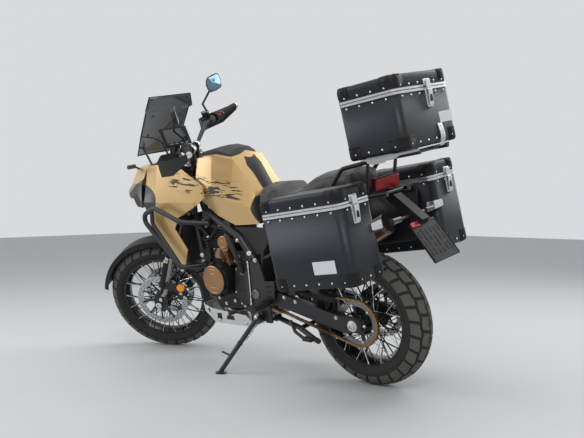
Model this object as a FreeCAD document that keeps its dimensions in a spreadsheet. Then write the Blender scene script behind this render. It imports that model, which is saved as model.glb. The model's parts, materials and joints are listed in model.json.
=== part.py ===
import FreeCAD, Part
import math
import os

from FreeCAD import Placement, Rotation, Vector

# Adventure motorcycle leaning on its side stand, with three metal-cornered cases.
# Every piece is drawn upright: +X forward, +Y left, +Z up, with the rear axle above x = 0
# and the ground at z = 0. The stance then leans the whole machine over to its left.

SIZES = [
    # Stance and steering geometry
    ("wheelbase", 1460), ("lean_angle", 10.5), ("rake_angle", 26), ("trail", 112),
    ("steer_angle", 31), ("joint_gap", 0.05),
    # Front wheel
    ("front_tyre_radius", 329), ("front_tyre_width", 110), ("front_crown_radius", 56),
    ("front_rim_radius", 254), ("front_rim_width", 74), ("front_rim_seat", 241),
    ("front_hub_radius", 28), ("front_hub_width", 92), ("front_flange_radius", 44),
    ("front_disc_radius", 149), ("front_disc_offset", 64), ("front_disc_wall", 5),
    ("front_disc_inner", 112),
    # Rear wheel
    ("rear_tyre_radius", 321), ("rear_tyre_width", 150), ("rear_crown_radius", 74),
    ("rear_rim_radius", 229), ("rear_rim_width", 122), ("rear_rim_seat", 216),
    ("rear_hub_radius", 40), ("rear_hub_width", 124), ("rear_flange_radius", 62),
    ("rear_disc_radius", 120), ("rear_disc_offset", 88), ("rear_disc_wall", 5),
    ("rear_disc_inner", 82),
    ("spoke_count", 32), ("spoke_width", 4.5), ("rim_wall", 5),
    # Chain drive
    ("chain_pitch", 15.875), ("chain_width", 17), ("chain_height", 15), ("chain_line", 99),
    ("rear_teeth", 43), ("front_teeth", 15), ("sprocket_wall", 6),
    # Axles
    ("axle_radius", 11), ("axle_bore", 7), ("axle_half_length", 152),
    ("front_axle_half", 128),
    # Fork and bars
    ("fork_spacing", 106), ("fork_offset", 32), ("stanchion_radius", 21),
    ("outer_tube_radius", 29), ("fork_top", 880), ("outer_tube_foot", 330),
    ("lower_yoke_height", 665), ("upper_yoke_height", 848), ("yoke_height", 34),
    ("bar_radius", 11), ("grip_radius", 17), ("grip_length", 128),
    # Frame
    ("head_tube_radius", 29), ("spar_radius", 19), ("fork_sweep", 156),
    ("subframe_radius", 12), ("guard_radius", 13), ("rack_radius", 8), ("down_tube_radius", 14),
    ("pivot_plate_wall", 10), ("seat_gap", 0.3),
    # Swingarm
    ("swingarm_pivot_x", 575), ("swingarm_pivot_z", 430), ("swingarm_tube_radius", 22),
    ("arm_inner", 112), ("arm_outer", 142),
    # Cases
    ("side_case_length", 445), ("side_case_width", 215), ("side_case_height", 327),
    ("side_case_x", -33), ("side_case_y", 342), ("side_case_z", 904),
    ("top_case_length", 299), ("top_case_width", 406), ("top_case_height", 237),
    ("top_case_x", -254), ("top_case_seat", 1088),
    ("lid_height", 68), ("case_wall", 2.5), ("case_corner", 34), ("case_tilt", 6.7),
    ("lid_gap", 1.0), ("hinge_radius", 5),
]

document = FreeCAD.newDocument("adventure_motorcycle")
sheet = document.addObject("Spreadsheet::Sheet", "sizes")
for row, (alias, value) in enumerate(SIZES, start=1):
    sheet.set("A%d" % row, alias)
    sheet.set("B%d" % row, str(value))
    sheet.setAlias("B%d" % row, alias)
document.recompute()


def size(alias):
    """The number in the sheet's cell of that name."""
    return float(getattr(sheet, alias))


ACROSS = Vector(0, 1, 0)
UP = Vector(0, 0, 1)
FORWARD = Vector(1, 0, 0)
ORIGIN = Vector(0, 0, 0)

pieces = {}


def settled(shape):
    """A copy whose own placement is worked into its geometry."""
    moved = shape.Placement.toMatrix()
    plain = shape.copy()
    plain.Placement = Placement()
    return plain.transformed(moved, True)


def keep(label, shape, carrier="chassis", local=None):
    """One piece whose shape is worked out by Part's own functions."""
    piece = document.addObject("Part::Feature", label)
    piece.Label = label
    piece.Shape = settled(shape)
    pieces[label] = (piece, carrier, local or Placement())
    return piece


def adopt(label, piece, carrier="chassis", local=None):
    """One piece that is already an object of the document."""
    piece.Label = label
    pieces[label] = (piece, carrier, local or Placement())
    return piece


def rounded(points, radius, closed=False):
    """A wire along the points, with an arc of that radius at each corner."""
    count = len(points)
    radii = radius if isinstance(radius, (list, tuple)) else [radius] * count
    starts, ends, arcs = [], [], []
    for index, point in enumerate(points):
        bend = radii[index]
        if (not closed and index in (0, count - 1)) or bend <= 0:
            starts.append(point)
            ends.append(point)
            arcs.append(None)
            continue
        back = (points[index - 1] - point).normalize()
        ahead = (points[(index + 1) % count] - point).normalize()
        turn = back.getAngle(ahead)
        reach = bend / math.tan(turn / 2)
        inward = (back + ahead).normalize()
        middle = point + inward * (bend / math.sin(turn / 2) - bend)
        starts.append(point + back * reach)
        ends.append(point + ahead * reach)
        arcs.append(Part.Arc(starts[-1], middle, ends[-1]))
    edges = []
    for index in range(count if closed else count - 1):
        nearby = (index + 1) % count
        edges.append(Part.LineSegment(ends[index], starts[nearby]).toShape())
        if arcs[nearby] is not None:
            edges.append(arcs[nearby].toShape())
    return Part.Wire(edges)


def tube(points, radius, bend):
    """A round tube: straight runs, a piece of torus at each bend, a ball at each mitre."""
    points = [Vector(*point) for point in points]
    bends = bend if isinstance(bend, (list, tuple)) else [bend] * len(points)
    start = points[0]
    pieces = []
    for index in range(1, len(points)):
        corner = points[index]
        run = (corner - points[index - 1]).normalize()
        last = index == len(points) - 1
        ahead = run if last else (points[index + 1] - corner).normalize()
        turn = run.getAngle(ahead)
        reach = 0 if last else bends[index] * math.tan(turn / 2)
        stop = corner - run * reach
        pieces.append(Part.makeCylinder(radius, (stop - start).Length, start, run))
        start = corner + ahead * reach
        if last:
            break
        if reach == 0:
            pieces.append(Part.makeSphere(radius, corner))
            continue
        axis = run.cross(ahead).normalize()
        middle = stop + axis.cross(run) * bends[index]
        disc = Part.Face(Part.Wire(Part.makeCircle(radius, stop, run)))
        pieces.append(disc.revolve(middle, axis, math.degrees(turn)))
    return pieces[0].multiFuse(pieces[1:]) if len(pieces) > 1 else pieces[0]


def loop_tube(points, radius, bend):
    """A closed ring of tube: two bent halves that meet in the middle of two sides."""
    points = [Vector(*point) for point in points]
    half = len(points) // 2
    first = (points[-1] + points[0]) * 0.5
    second = (points[half - 1] + points[half]) * 0.5
    near = tube([first] + points[:half] + [second], radius, bend)
    far = tube([second] + points[half:] + [first], radius, bend)
    return near.fuse(far)


def rod(start, end, radius):
    """A straight round bar between two points."""
    start = Vector(*start)
    run = Vector(*end) - start
    return Part.makeCylinder(radius, run.Length, start, run)


def slab(outline, bend, inner, outer):
    """A plate cut to an outline of x and z, between two distances from the middle plane."""
    points = [Vector(x, inner, z) for x, z in outline]
    face = Part.Face(rounded(points, bend, closed=True))
    return face.extrude(Vector(0, outer - inner, 0))


def mirrored(shape):
    """The same shape on the machine's other side."""
    return shape.mirror(ORIGIN, ACROSS)


def both(shape):
    """A shape and its twin on the other side, in one piece."""
    return Part.makeCompound([shape, mirrored(shape)])


def hull_section(x, half, bend):
    """A closed outline at one x, from half of its y and z points, rounded at its corners."""
    right = [(-y, z) for y, z in reversed(half) if y > 0]
    points = [Vector(x, y, z) for y, z in half + right]
    radii = [bend if abs(point.y) > 1e-6 else 0 for point in points]
    return rounded(points, radii, closed=True)


def hull(stations, bend):
    """A body through cross sections: each row is x and then half of its y and z points."""
    wires = [hull_section(x, half, bend) for x, half in stations]
    return Part.makeLoft(wires, True, True)


def bound(thing, **rules):
    """The same object with sizes tied to cells of the sheet."""
    for name, rule in rules.items():
        if isinstance(rule, str):
            thing.setExpression(name, rule.replace("$", "sizes."))
        else:
            setattr(thing, name, rule)
    return thing


def section(body, name, plane_role, edges, offset=0.0):
    """A sketch of lines and arcs on one of a body's own planes, set off along its normal."""
    plane = [f for f in body.Origin.OriginFeatures if f.Role == plane_role][0]
    sketch = body.newObject("Sketcher::SketchObject", name)
    sketch.AttachmentSupport = [(plane, "")]
    sketch.MapMode = "FlatFace"
    sketch.AttachmentOffset = Placement(Vector(0, 0, offset), Rotation())
    for edge in edges:
        curve = edge.Curve
        first, last = edge.Vertexes[0].Point, edge.Vertexes[-1].Point
        if isinstance(curve, Part.Circle) and len(edge.Vertexes) > 1:
            middle = edge.valueAt((edge.FirstParameter + edge.LastParameter) / 2)
            sketch.addGeometry(Part.Arc(first, middle, last), False)
        elif isinstance(curve, Part.Circle):
            sketch.addGeometry(Part.Circle(curve.Center, UP, curve.Radius), False)
        else:
            sketch.addGeometry(Part.LineSegment(first, last), False)
    return sketch


def turned(name, ring):
    """A body turned about the cross axis from a closed row of y and radius points."""
    body = document.addObject("PartDesign::Body", name)
    edges = ring if isinstance(ring[0], Part.Edge) else Part.makePolygon(
        [Vector(a, b, 0) for a, b in list(ring) + list(ring[:1])]).Edges
    sketch = section(body, name + "_section", "YZ_Plane", edges)
    turn = body.newObject("PartDesign::Revolution", name + "_turn")
    turn.Profile = sketch
    turn.ReferenceAxis = (sketch, ["H_Axis"])
    turn.Angle = 360
    return body


def plate(name, outline, bend, inner, depth, holes=()):
    """A pad of an x and z outline that starts at the distance inner from the middle plane."""
    body = document.addObject("PartDesign::Body", name)
    edges = list(rounded([Vector(x, z, 0) for x, z in outline], bend, closed=True).Edges)
    for x, z, radius in holes:
        edges += Part.makeCircle(radius, Vector(x, z, 0)).Edges
    sketch = section(body, name + "_outline", "XZ_Plane", edges, -inner)
    pad = body.newObject("PartDesign::Pad", name + "_pad")
    pad.Profile = sketch
    pad.Reversed = True
    return bound(pad, Length=depth) and body


def bar(name, start, end, radius):
    """A straight round bar whose radius is a size of the sheet."""
    start = Vector(*start)
    run = Vector(*end) - start
    body = document.addObject("Part::Cylinder", name)
    body.Height = run.Length
    body.Placement = Placement(start, Rotation(UP, run))
    return bound(body, Radius=radius)


def shaped(name, shape):
    """A shape from Part's own functions, as an object to build on."""
    body = document.addObject("Part::Feature", name)
    body.Shape = settled(shape)
    return body


def fused(name, members):
    body = document.addObject("Part::MultiFuse", name)
    body.Shapes = members
    return body


def cut_from(name, base, tool):
    body = document.addObject("Part::Cut", name)
    body.Base = base
    body.Tool = tool
    return body


def other_side(name, source):
    body = document.addObject("Part::Mirroring", name)
    body.Source = source
    body.Normal = ACROSS
    return body


def paired(name, source):
    """A shape and its twin on the other side, in one piece."""
    body = document.addObject("Part::Compound", name)
    body.Links = [source, other_side(name + "_right", source)]
    return body


# Steering axis: it meets the ground ahead of the tyre by the trail.

wheelbase = size("wheelbase")
rake = math.radians(size("rake_angle"))
gap = size("seat_gap")
steer_axis = Vector(-math.sin(rake), 0, math.cos(rake))
steer_foot = Vector(wheelbase + size("trail"), 0, 0)
front_centre = Vector(wheelbase, 0, size("front_tyre_radius"))
rear_centre = Vector(0, 0, size("rear_tyre_radius"))
steer_forward = ACROSS.cross(steer_axis)


def on_axis(height):
    """The point of the steering axis level, along the fork, with the axle plus height."""
    along = (front_centre - steer_foot).dot(steer_axis) + height
    return steer_foot + steer_axis * along


def on_fork(height, ahead=0, side=0):
    """A point beside the fork: height up the leg from the axle, ahead of the axis."""
    return on_axis(height) + steer_forward * ahead + ACROSS * side


axle_lead = (front_centre - on_axis(0)).dot(steer_forward)
rake_turn = Rotation(ACROSS, -math.degrees(rake))


# Wheels: tyre, laced rim and hub, discs and sprocket, each about its own centre.

def tyre_ring(end):
    """Closed ring section of a tyre: a round tread between straight shoulders and walls."""
    radius = size(end + "_tyre_radius")
    width = size(end + "_tyre_width") / 2
    crown = size(end + "_crown_radius")
    seat = size(end + "_rim_seat") + size("joint_gap")
    bead = size(end + "_rim_width") / 2 - size("rim_wall") - size("joint_gap")
    spread = math.radians(42)
    edge_y, edge_r = crown * math.sin(spread), radius - crown * (1 - math.cos(spread))
    widest = seat + (radius - seat) * 0.52
    right = [(width, widest), (bead, seat + 14), (bead, seat)]
    left = [(-y, r) for y, r in reversed(right)]
    points = [Vector(y, r, 0) for y, r in [(edge_y, edge_r)] + right + left]
    points.append(Vector(-edge_y, edge_r, 0))
    edges = [Part.LineSegment(a, b).toShape() for a, b in zip(points, points[1:])]
    edges.append(Part.Arc(points[-1], Vector(0, radius, 0), points[0]).toShape())
    return edges


def rim_ring(end):
    """Rim channel: two upstanding flanges, bead seats and a dropped well."""
    edge = size(end + "_rim_radius")
    seat = size(end + "_rim_seat")
    half = size(end + "_rim_width") / 2
    wall = size("rim_wall")
    well = seat - 14
    left = [(-half, edge), (-half + wall, edge), (-half + wall, seat), (-half * 0.5, seat),
            (-half * 0.36, well)]
    under = [(half * 0.4, well - wall), (half * 0.55, seat - wall), (half, seat - wall)]
    return (left + [(-y, r) for y, r in reversed(left)]
            + list(reversed(under)) + [(-y, r) for y, r in under])


def hub_ring(end):
    """Hub barrel with a spoke flange near each end, bored for the axle."""
    half = size(end + "_hub_width") / 2
    hub = size(end + "_hub_radius")
    flange = size(end + "_flange_radius")
    bore = size("axle_radius") + size("joint_gap")
    return [(-half, bore), (-half, hub), (-half + 6, flange), (-half + 12, flange),
            (-half + 20, hub), (half - 20, hub), (half - 12, flange), (half - 6, flange),
            (half, hub), (half, bore)]


def spokes(end):
    """Crossed spokes from the hub flanges to the edges of the rim."""
    seat = size(end + "_rim_seat") - size("rim_wall") - 1
    half = size(end + "_rim_width") / 2
    hub_half = size(end + "_hub_width") / 2
    flange = size(end + "_flange_radius")
    across = size("spoke_width")
    count = int(size("spoke_count"))
    wires = []
    for index in range(count):
        side = 1 if index % 2 else -1
        cross = 1 if (index // 2) % 2 else -1
        rim_turn = 2 * math.pi * index / count
        hub_turn = rim_turn + cross * math.radians(58)
        start = Vector((flange - 5) * math.cos(hub_turn), side * (hub_half - 9),
                       (flange - 5) * math.sin(hub_turn))
        finish = Vector(seat * math.cos(rim_turn), side * half * 0.76, seat * math.sin(rim_turn))
        run = finish - start
        lay = Rotation(UP, run)
        corners = [Vector(a * across / 2, b * across / 2, 0)
                   for a, b in ((1, 1), (-1, 1), (-1, -1), (1, -1), (1, 1))]
        face = Part.Face(Part.makePolygon([start + lay.multVec(c) for c in corners]))
        wires.append(face.extrude(run * (1 + 3 / run.Length)))
    return wires[0].multiFuse(wires[1:])


def laced_wheel(end, local):
    rim = turned(end + "_rim", rim_ring(end))
    hub = turned(end + "_hub", hub_ring(end))
    lacing = shaped(end + "_spokes", spokes(end))
    adopt(end + "_wheel", fused(end + "_wheel", [rim, hub, lacing]), end + "_wheel", local)
    rubber = turned(end + "_tyre", tyre_ring(end))
    adopt(end + "_tyre", rubber, end + "_wheel", local)


def brake_disc(end, side):
    """A brake disc on a ring of arms, with a boss that reaches the hub."""
    radius, inner = size(end + "_disc_radius"), size(end + "_disc_inner")
    wall, offset = size(end + "_disc_wall"), size(end + "_disc_offset")
    hub_face = size(end + "_hub_width") / 2 + gap
    hub = size("axle_radius") + 8
    face = side * offset - wall / 2
    ring = Part.makeCylinder(radius, wall, Vector(0, face, 0), ACROSS)
    ring = ring.cut(Part.makeCylinder(inner, wall, Vector(0, face, 0), ACROSS))
    low, high = sorted((side * hub_face, side * (offset + wall / 2)))
    boss = Part.makeCylinder(hub + 14, high - low, Vector(0, low, 0), ACROSS)
    boss = boss.cut(Part.makeCylinder(hub, high - low, Vector(0, low, 0), ACROSS))
    arms = []
    for index in range(5):
        arm = Part.makeBox(inner - hub - 2, wall, 14, Vector(hub + 6, face, -7))
        arm.rotate(ORIGIN, ACROSS, 72 * index)
        arms.append(arm)
    return ring.multiFuse([boss] + arms)


front_local = Placement(front_centre, Rotation())
rear_local = Placement(rear_centre, Rotation())
laced_wheel("front", front_local)
laced_wheel("rear", rear_local)
keep("front_discs", Part.makeCompound([brake_disc("front", side) for side in (1, -1)]),
     "front_wheel", front_local)
keep("rear_disc", brake_disc("rear", -1), "rear_wheel", rear_local)


# Chain drive: a sprocket on the wheel, one on the gearbox and a closed loop of chain.

def pitch_radius(teeth):
    return size("chain_pitch") / (2 * math.sin(math.pi / teeth))


rear_pitch = pitch_radius(size("rear_teeth"))
front_pitch = pitch_radius(size("front_teeth"))
chain_half = size("chain_height") / 2
chain_line = size("chain_line")
chain_inner = chain_line - size("chain_width") / 2
chain_outer = chain_line + size("chain_width") / 2
sprocket_wall = size("sprocket_wall")
front_sprocket = Vector(648, 0, 428)


def sprocket_plate():
    """The rear sprocket with five windows, and the carrier that reaches the hub."""
    face = chain_line - sprocket_wall / 2
    start = size("rear_hub_width") / 2 + gap
    disc = Part.makeCylinder(rear_pitch - chain_half - gap, sprocket_wall,
                             Vector(0, face, 0), ACROSS)
    carrier = Part.makeCylinder(48, face + sprocket_wall - start, Vector(0, start, 0), ACROSS)
    disc = disc.fuse(carrier)
    disc = disc.cut(Part.makeCylinder(24, 60, Vector(0, start, 0), ACROSS))
    for index in range(5):
        window = Part.makeCylinder(13, 40, Vector(74, face, 0), ACROSS)
        window.rotate(ORIGIN, ACROSS, 72 * index)
        disc = disc.cut(window)
    return disc


def chain_loop(offset):
    """The outline round both sprockets at a distance from the pitch line."""
    run = front_sprocket - rear_centre
    angle = math.atan2(run.z, run.x)
    spread = math.acos((rear_pitch - front_pitch) / run.Length)
    ends = []
    for centre, radius, far in ((rear_centre, rear_pitch, math.pi),
                                (front_sprocket, front_pitch, 0)):
        ends.append([centre + Vector(math.cos(a), 0, math.sin(a)) * (radius + offset)
                     for a in (angle + spread, angle - spread, angle + far)])
    (rear_top, rear_low, rear_far), (front_top, front_low, front_far) = ends
    edges = [Part.LineSegment(rear_top, front_top).toShape(),
             Part.Arc(front_top, front_far, front_low).toShape(),
             Part.LineSegment(front_low, rear_low).toShape(),
             Part.Arc(rear_low, rear_far, rear_top).toShape()]
    return Part.Face(Part.Wire(edges))


keep("rear_sprocket", sprocket_plate(), "rear_wheel", rear_local)
band = chain_loop(chain_half).cut(chain_loop(-chain_half))
band.translate(Vector(0, chain_inner, 0))


def chain_plates():
    """Outer link plates at every second pitch, which stand proud of the chain's sides."""
    run = front_sprocket - rear_centre
    angle = math.atan2(run.z, run.x)
    spread = math.acos((rear_pitch - front_pitch) / run.Length)
    pitch = size("chain_pitch")
    wide, high, long = size("chain_width") + 3, size("chain_height") * 0.8, pitch * 1.25
    spots = []
    for side in (1, -1):
        out = Vector(math.cos(angle + side * spread), 0, math.sin(angle + side * spread))
        start = rear_centre + out * rear_pitch
        stretch = front_sprocket + out * front_pitch - start
        slope = math.atan2(stretch.z, stretch.x)
        for step in range(int(stretch.Length // (2 * pitch))):
            place = start + stretch * ((2 * step + 1) * pitch / stretch.Length)
            spots.append((place, slope))
    for centre, radius, first, last in (
            (rear_centre, rear_pitch, angle + spread, angle + 2 * math.pi - spread),
            (front_sprocket, front_pitch, angle - spread, angle + spread)):
        count = int((last - first) * radius // (2 * pitch))
        for step in range(count):
            swing = first + (last - first) * (step + 0.5) / count
            place = centre + Vector(math.cos(swing), 0, math.sin(swing)) * radius
            spots.append((place, swing + math.pi / 2))
    plates = []
    for place, slope in spots:
        plate_box = Part.makeBox(long, wide, high, Vector(-long / 2, -wide / 2, -high / 2))
        plate_box.Placement = Placement(place + ACROSS * chain_line,
                                        Rotation(ACROSS, -math.degrees(slope)))
        plates.append(settled(plate_box))
    return plates


keep("chain", band.extrude(Vector(0, size("chain_width"), 0)).multiFuse(chain_plates()))


# Fork: outer tubes in two yokes, bright inner tubes, and feet that carry the axle.

def yoke(height):
    """A yoke plate: a boss round the stem and an eye round each leg, joined by arms."""
    thick = size("yoke_height")
    side, ahead = size("fork_spacing"), size("fork_offset")
    low = on_axis(height - thick / 2)
    eye = size("outer_tube_radius") + 9
    parts = [Part.makeCylinder(30, thick, low, steer_axis)]
    for sign in (1, -1):
        centre = low + steer_forward * ahead + ACROSS * sign * side
        parts.append(Part.makeCylinder(eye, thick, centre, steer_axis))
    arm = Part.makeBox(50, 2 * side, thick, Vector(ahead - 30, -side, 0))
    arm.Placement = Placement(low, rake_turn)
    return parts[0].multiFuse(parts[1:] + [arm])


caliper_angle = 158
caliper_turn = math.radians(caliper_angle)
caliper_out = Vector(math.cos(caliper_turn), 0, math.sin(caliper_turn))


def fork():
    side, ahead = size("fork_spacing"), size("fork_offset")
    foot_height = size("outer_tube_foot")
    parts = []
    for sign in (1, -1):
        foot = on_fork(foot_height, ahead, sign * side)
        top = on_fork(size("fork_top"), ahead, sign * side)
        parts.append(Part.makeCylinder(size("outer_tube_radius"), (top - foot).Length, foot,
                                       steer_axis))
        low = on_fork(20, ahead, sign * side)
        parts.append(Part.makeCylinder(size("stanchion_radius"), (foot - low).Length + 10, low,
                                       steer_axis))
        lug = Part.makeBox(66, 34, 104, Vector(-33, -17, -36))
        lug.Placement = Placement(on_fork(0, (ahead + axle_lead) / 2, sign * side), rake_turn)
        parts.append(lug)
        reach = size("front_disc_radius") - 34 - gap
        start = front_centre + Vector(-20, sign * (side - 11), 16)
        finish = front_centre + caliper_out * reach + ACROSS * sign * (side - 11)
        parts.append(Part.makeCylinder(13, (finish - start).dot(caliper_out),
                                       finish - caliper_out * (finish - start).dot(caliper_out),
                                       caliper_out))
    parts += [yoke(size("lower_yoke_height")), yoke(size("upper_yoke_height"))]
    stem_run = size("upper_yoke_height") - size("lower_yoke_height")
    parts.append(Part.makeCylinder(15, stem_run, on_axis(size("lower_yoke_height")), steer_axis))
    half = size("front_axle_half")
    parts.append(Part.makeCylinder(size("axle_radius"), 2 * half, front_centre - ACROSS * half,
                                   ACROSS))
    body = parts[0].multiFuse(parts[1:])
    return body.cut(Part.makeCylinder(size("axle_bore"), 2 * half + 60,
                                      front_centre - ACROSS * (half + 30), ACROSS))


keep("fork", fork(), "steering")

# Handlebar, mirrors and hand guards turn with the fork.

bar_points = [(1038, 0, 1172), (1038, 62, 1172), (1008, 180, 1246), (902, 428, 1255)]
bar_tip = Vector(*bar_points[-1])
bar_back = (Vector(*bar_points[-2]) - bar_tip).normalize()
yoke_top = size("upper_yoke_height") + size("yoke_height") / 2


def on_bar(distance):
    """A point of the bar's outer run, measured inwards from its tip."""
    return bar_tip + bar_back * distance


def handlebar():
    left = tube(bar_points, size("bar_radius"), 45)
    grip = Part.makeCylinder(size("grip_radius"), size("grip_length"), bar_tip, bar_back)
    weight = Part.makeCylinder(15, 22, on_bar(-10), bar_back)
    switch = Part.makeCylinder(23, 46, on_bar(size("grip_length") + 6), bar_back)
    boss = Part.makeCylinder(14.5, 22, on_bar(213), bar_back)
    root = on_bar(165) + Vector(30, 0, -6)
    lever = tube([root, on_bar(120) + Vector(44, 0, -10), on_bar(4) + Vector(34, 0, -8)], 6, 0)
    perch = Part.makeCylinder(13, 46, root - Vector(34, 0, -4), Vector(1, 0, -0.15))
    clamp = Part.makeCylinder(20, 34, Vector(bar_points[0][0], 22, bar_points[0][2]), ACROSS)
    riser = rod(on_fork(yoke_top - 8, 8, 39), Vector(bar_points[0][0], 39, bar_points[0][2]),
                15)
    riser = riser.cut(Part.makeCylinder(200, 40, on_axis(yoke_top + gap - 40), steer_axis))
    side = left.multiFuse([grip, weight, switch, boss, lever, perch, clamp, riser])
    return side.fuse(mirrored(side))


keep("handlebar", handlebar(), "steering")


def mirror_pair():
    foot = on_bar(224) + Vector(0, 0, 14.5 + gap)
    stem = tube([foot, foot + Vector(0, 0, 20), (1018, 248, 1338), (970, 306, 1402)], 5.5, 0)
    head = hull([(0, [(0, -42), (58, -36), (66, 10), (50, 46), (0, 50)]),
                 (22, [(0, -30), (42, -26), (48, 6), (36, 32), (0, 36)])], 12)
    head.rotate(ORIGIN, UP, 20)
    head.translate(Vector(948, 325, 1424))
    return both(stem.fuse(head))


keep("mirrors", mirror_pair(), "steering")

guard_rows = [(1050, 252, 1192, 1232), (1094, 318, 1166, 1244), (1080, 408, 1158, 1240),
              (1000, 452, 1170, 1246), (902, 457, 1228, 1266)]


def handguard_pair():
    """A blade that wraps round the lever: upright strips between rows of x, y, foot and top."""
    wall = 4
    sections = []
    count = len(guard_rows)
    for index, (x, y, low, high) in enumerate(guard_rows):
        before, after = guard_rows[max(0, index - 1)], guard_rows[min(count - 1, index + 1)]
        along = Vector(after[0] - before[0], after[1] - before[1], 0).normalize()
        inward = Vector(along.y, -along.x, 0) * -wall
        base, top = Vector(x, y, low), Vector(x, y, high)
        sections.append(Part.makePolygon([base, top, top + inward, base + inward, base]))
    blade = Part.makeLoft(sections, True, True)
    blade = blade.cut(Part.makeCylinder(15 + gap, 60, on_bar(40), bar_back * -1))
    arm = rod(on_bar(196) + Vector(12, 0, 0), Vector(1048, 254, 1212), 6)
    arm = arm.cut(Part.makeCylinder(11 + gap, 400, bar_tip, bar_back))
    return both(blade.fuse(arm))


keep("handguards", handguard_pair(), "steering")


def front_guard():
    """A shell over the tyre between two angles, with a lug to each leg of the fork."""
    radius = size("front_tyre_radius") + 30
    start = math.radians(18)
    profile = [(-64, radius - 26), (-52, radius), (52, radius), (64, radius - 26),
               (61, radius - 27), (50, radius - 3.5), (-50, radius - 3.5), (-61, radius - 27)]
    ring = [Vector(math.cos(start) * r, y, math.sin(start) * r) for y, r in profile]
    face = Part.Face(Part.makePolygon(ring + ring[:1]))
    shell = face.revolve(ORIGIN, ACROSS, -112)
    shell.translate(front_centre)
    lug_end = size("fork_spacing") - size("outer_tube_radius") - gap
    lugs = []
    for sign in (1, -1):
        lug = Part.makeBox(24, lug_end - 58, 34, Vector(-12, 58 if sign > 0 else -lug_end, -17))
        lug.Placement = Placement(on_fork(size("outer_tube_foot") + 17, size("fork_offset"), 0),
                                  rake_turn)
        lugs.append(lug)
    return shell.multiFuse(lugs)


keep("front_mudguard", front_guard(), "steering")


def caliper(centre, disc_radius, disc_side, wall, angle, inner, outer):
    """A caliper that straddles a disc's rim at an angle round the wheel."""
    low, high = sorted((-inner, outer)) if disc_side > 0 else sorted((-outer, inner))
    block = Part.makeBox(44, high - low, 92, Vector(disc_radius - 34, low, -46))
    slot = Part.makeBox(38, wall + 4, 92, Vector(disc_radius - 34, -(wall + 4) / 2, -46))
    block = block.cut(slot)
    block.rotate(ORIGIN, ACROSS, -angle)
    block.translate(centre + ACROSS * disc_side)
    return block


front_caliper = caliper(front_centre, size("front_disc_radius"), size("front_disc_offset"),
                        size("front_disc_wall"), caliper_angle, 16, 38)
keep("front_calipers", both(front_caliper), "steering")

# Stance: lean, then the small pitch and lift that bring both tyres down to the floor.

steer_turn = Placement(Vector(), Rotation(steer_axis, size("steer_angle")), steer_foot)


def lowest(placement, centre, axis, end):
    """Height of the lowest point of a tyre's crown under a placement."""
    crown = size(end + "_crown_radius")
    ring = size(end + "_tyre_radius") - crown
    turned_axis = placement.Rotation.multVec(axis)
    return placement.multVec(centre).z - ring * math.sqrt(1 - turned_axis.z ** 2) - crown


def find_stance():
    pitch = 0.0
    steered_centre = steer_turn.multVec(front_centre)
    steered_axle = steer_turn.Rotation.multVec(ACROSS)
    for _ in range(6):
        turn = Rotation(FORWARD, -size("lean_angle")).multiply(
            Rotation(ACROSS, math.degrees(pitch)))
        trial = Placement(Vector(), turn)
        front = lowest(trial, steered_centre, steered_axle, "front")
        rear = lowest(trial, rear_centre, ACROSS, "rear")
        pitch += (front - rear) / wheelbase
    return Placement(Vector(0, 0, -rear), turn)


stance = find_stance()


def floor_point(x, y, height):
    """The upright-frame point above the floor by height, at that x and y."""
    base = stance.multVec(Vector(x, y, 0)).z
    rise = stance.multVec(Vector(x, y, 1)).z - base
    return Vector(x, y, (height - base) / rise)


# Stands. The side stand's foot lies flat on the floor under the leaning machine.

stand_pivot = Vector(560, 180, 322)
centre_pivot = Vector(505, 0, 300)
stand_foot = floor_point(706, 340, 12)
folded_run = Vector(-0.93, 0.30, -0.20).normalize()
deployed_run = (stand_foot - stand_pivot).normalize()
stand_axis = deployed_run.cross(folded_run).normalize()
SIDE_STAND_FOLD = round(math.degrees(deployed_run.getAngle(folded_run)), 1)


def side_stand():
    """A leg with a knuckle, a tang for the boot and a foot that lies flat on the floor."""
    leg = rod(stand_pivot, stand_foot, 12)
    knuckle = Part.makeCylinder(19, 24, stand_pivot - stand_axis * 12, stand_axis)
    tang_root = stand_pivot + (stand_foot - stand_pivot) * 0.72
    tang = rod(tang_root, tang_root + Vector(46, 16, 22), 5)
    pad_centre = stance.multVec(stand_foot)
    pad = Part.makeCylinder(28, 7, Vector(pad_centre.x, pad_centre.y, 0), UP)
    collar = Part.makeCylinder(14, 14, Vector(pad_centre.x, pad_centre.y, 0), UP)
    pad = pad.fuse(collar)
    pad = pad.transformGeometry(stance.inverse().toMatrix())
    return leg.multiFuse([knuckle, tang, pad])


keep("side_stand", side_stand(), "side_stand")


def centre_stand():
    leg = tube([(505, 94, 300), (340, 126, 276), (232, 150, 238), (190, 168, 236)], 13,
               [0, 0, 30, 0])
    boss = Part.makeCylinder(16, 30, Vector(505, 79.7, 300), ACROSS)
    lever = tube([(400, 116, 284), (330, 190, 326), (297, 204, 283), (236, 206, 251),
                  (190, 214, 258)], 8, 0)
    cross = rod((330, -128, 274), (330, 128, 274), 11)
    side = leg.fuse(boss)
    return side.multiFuse([mirrored(side), cross, lever])


keep("centre_stand", centre_stand(), "centre_stand")

# Frame: head tube, two spars down to the pivot plates, down tubes and the nose stay.

head_low = on_axis(size("lower_yoke_height") + 22)
head_high = on_axis(size("upper_yoke_height") - 22)
spar_route = [(1076, 6, 1012), (888, 128, 850), (642, 150, 718), (566, 150, 610)]
plate_inner = size("arm_outer") + 2.3
plate_outer = plate_inner + size("pivot_plate_wall")
engine_side = 120


def tank_floor(x):
    """Height of the tank's flat underside at a distance along the machine."""
    rows = [(row[0], row[1][0][1]) for row in tank_rows]
    for (x1, z1), (x2, z2) in zip(rows, rows[1:]):
        if x2 <= x <= x1:
            return z2 + (z1 - z2) * (x - x2) / (x1 - x2)
    return rows[-1][1]


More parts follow.
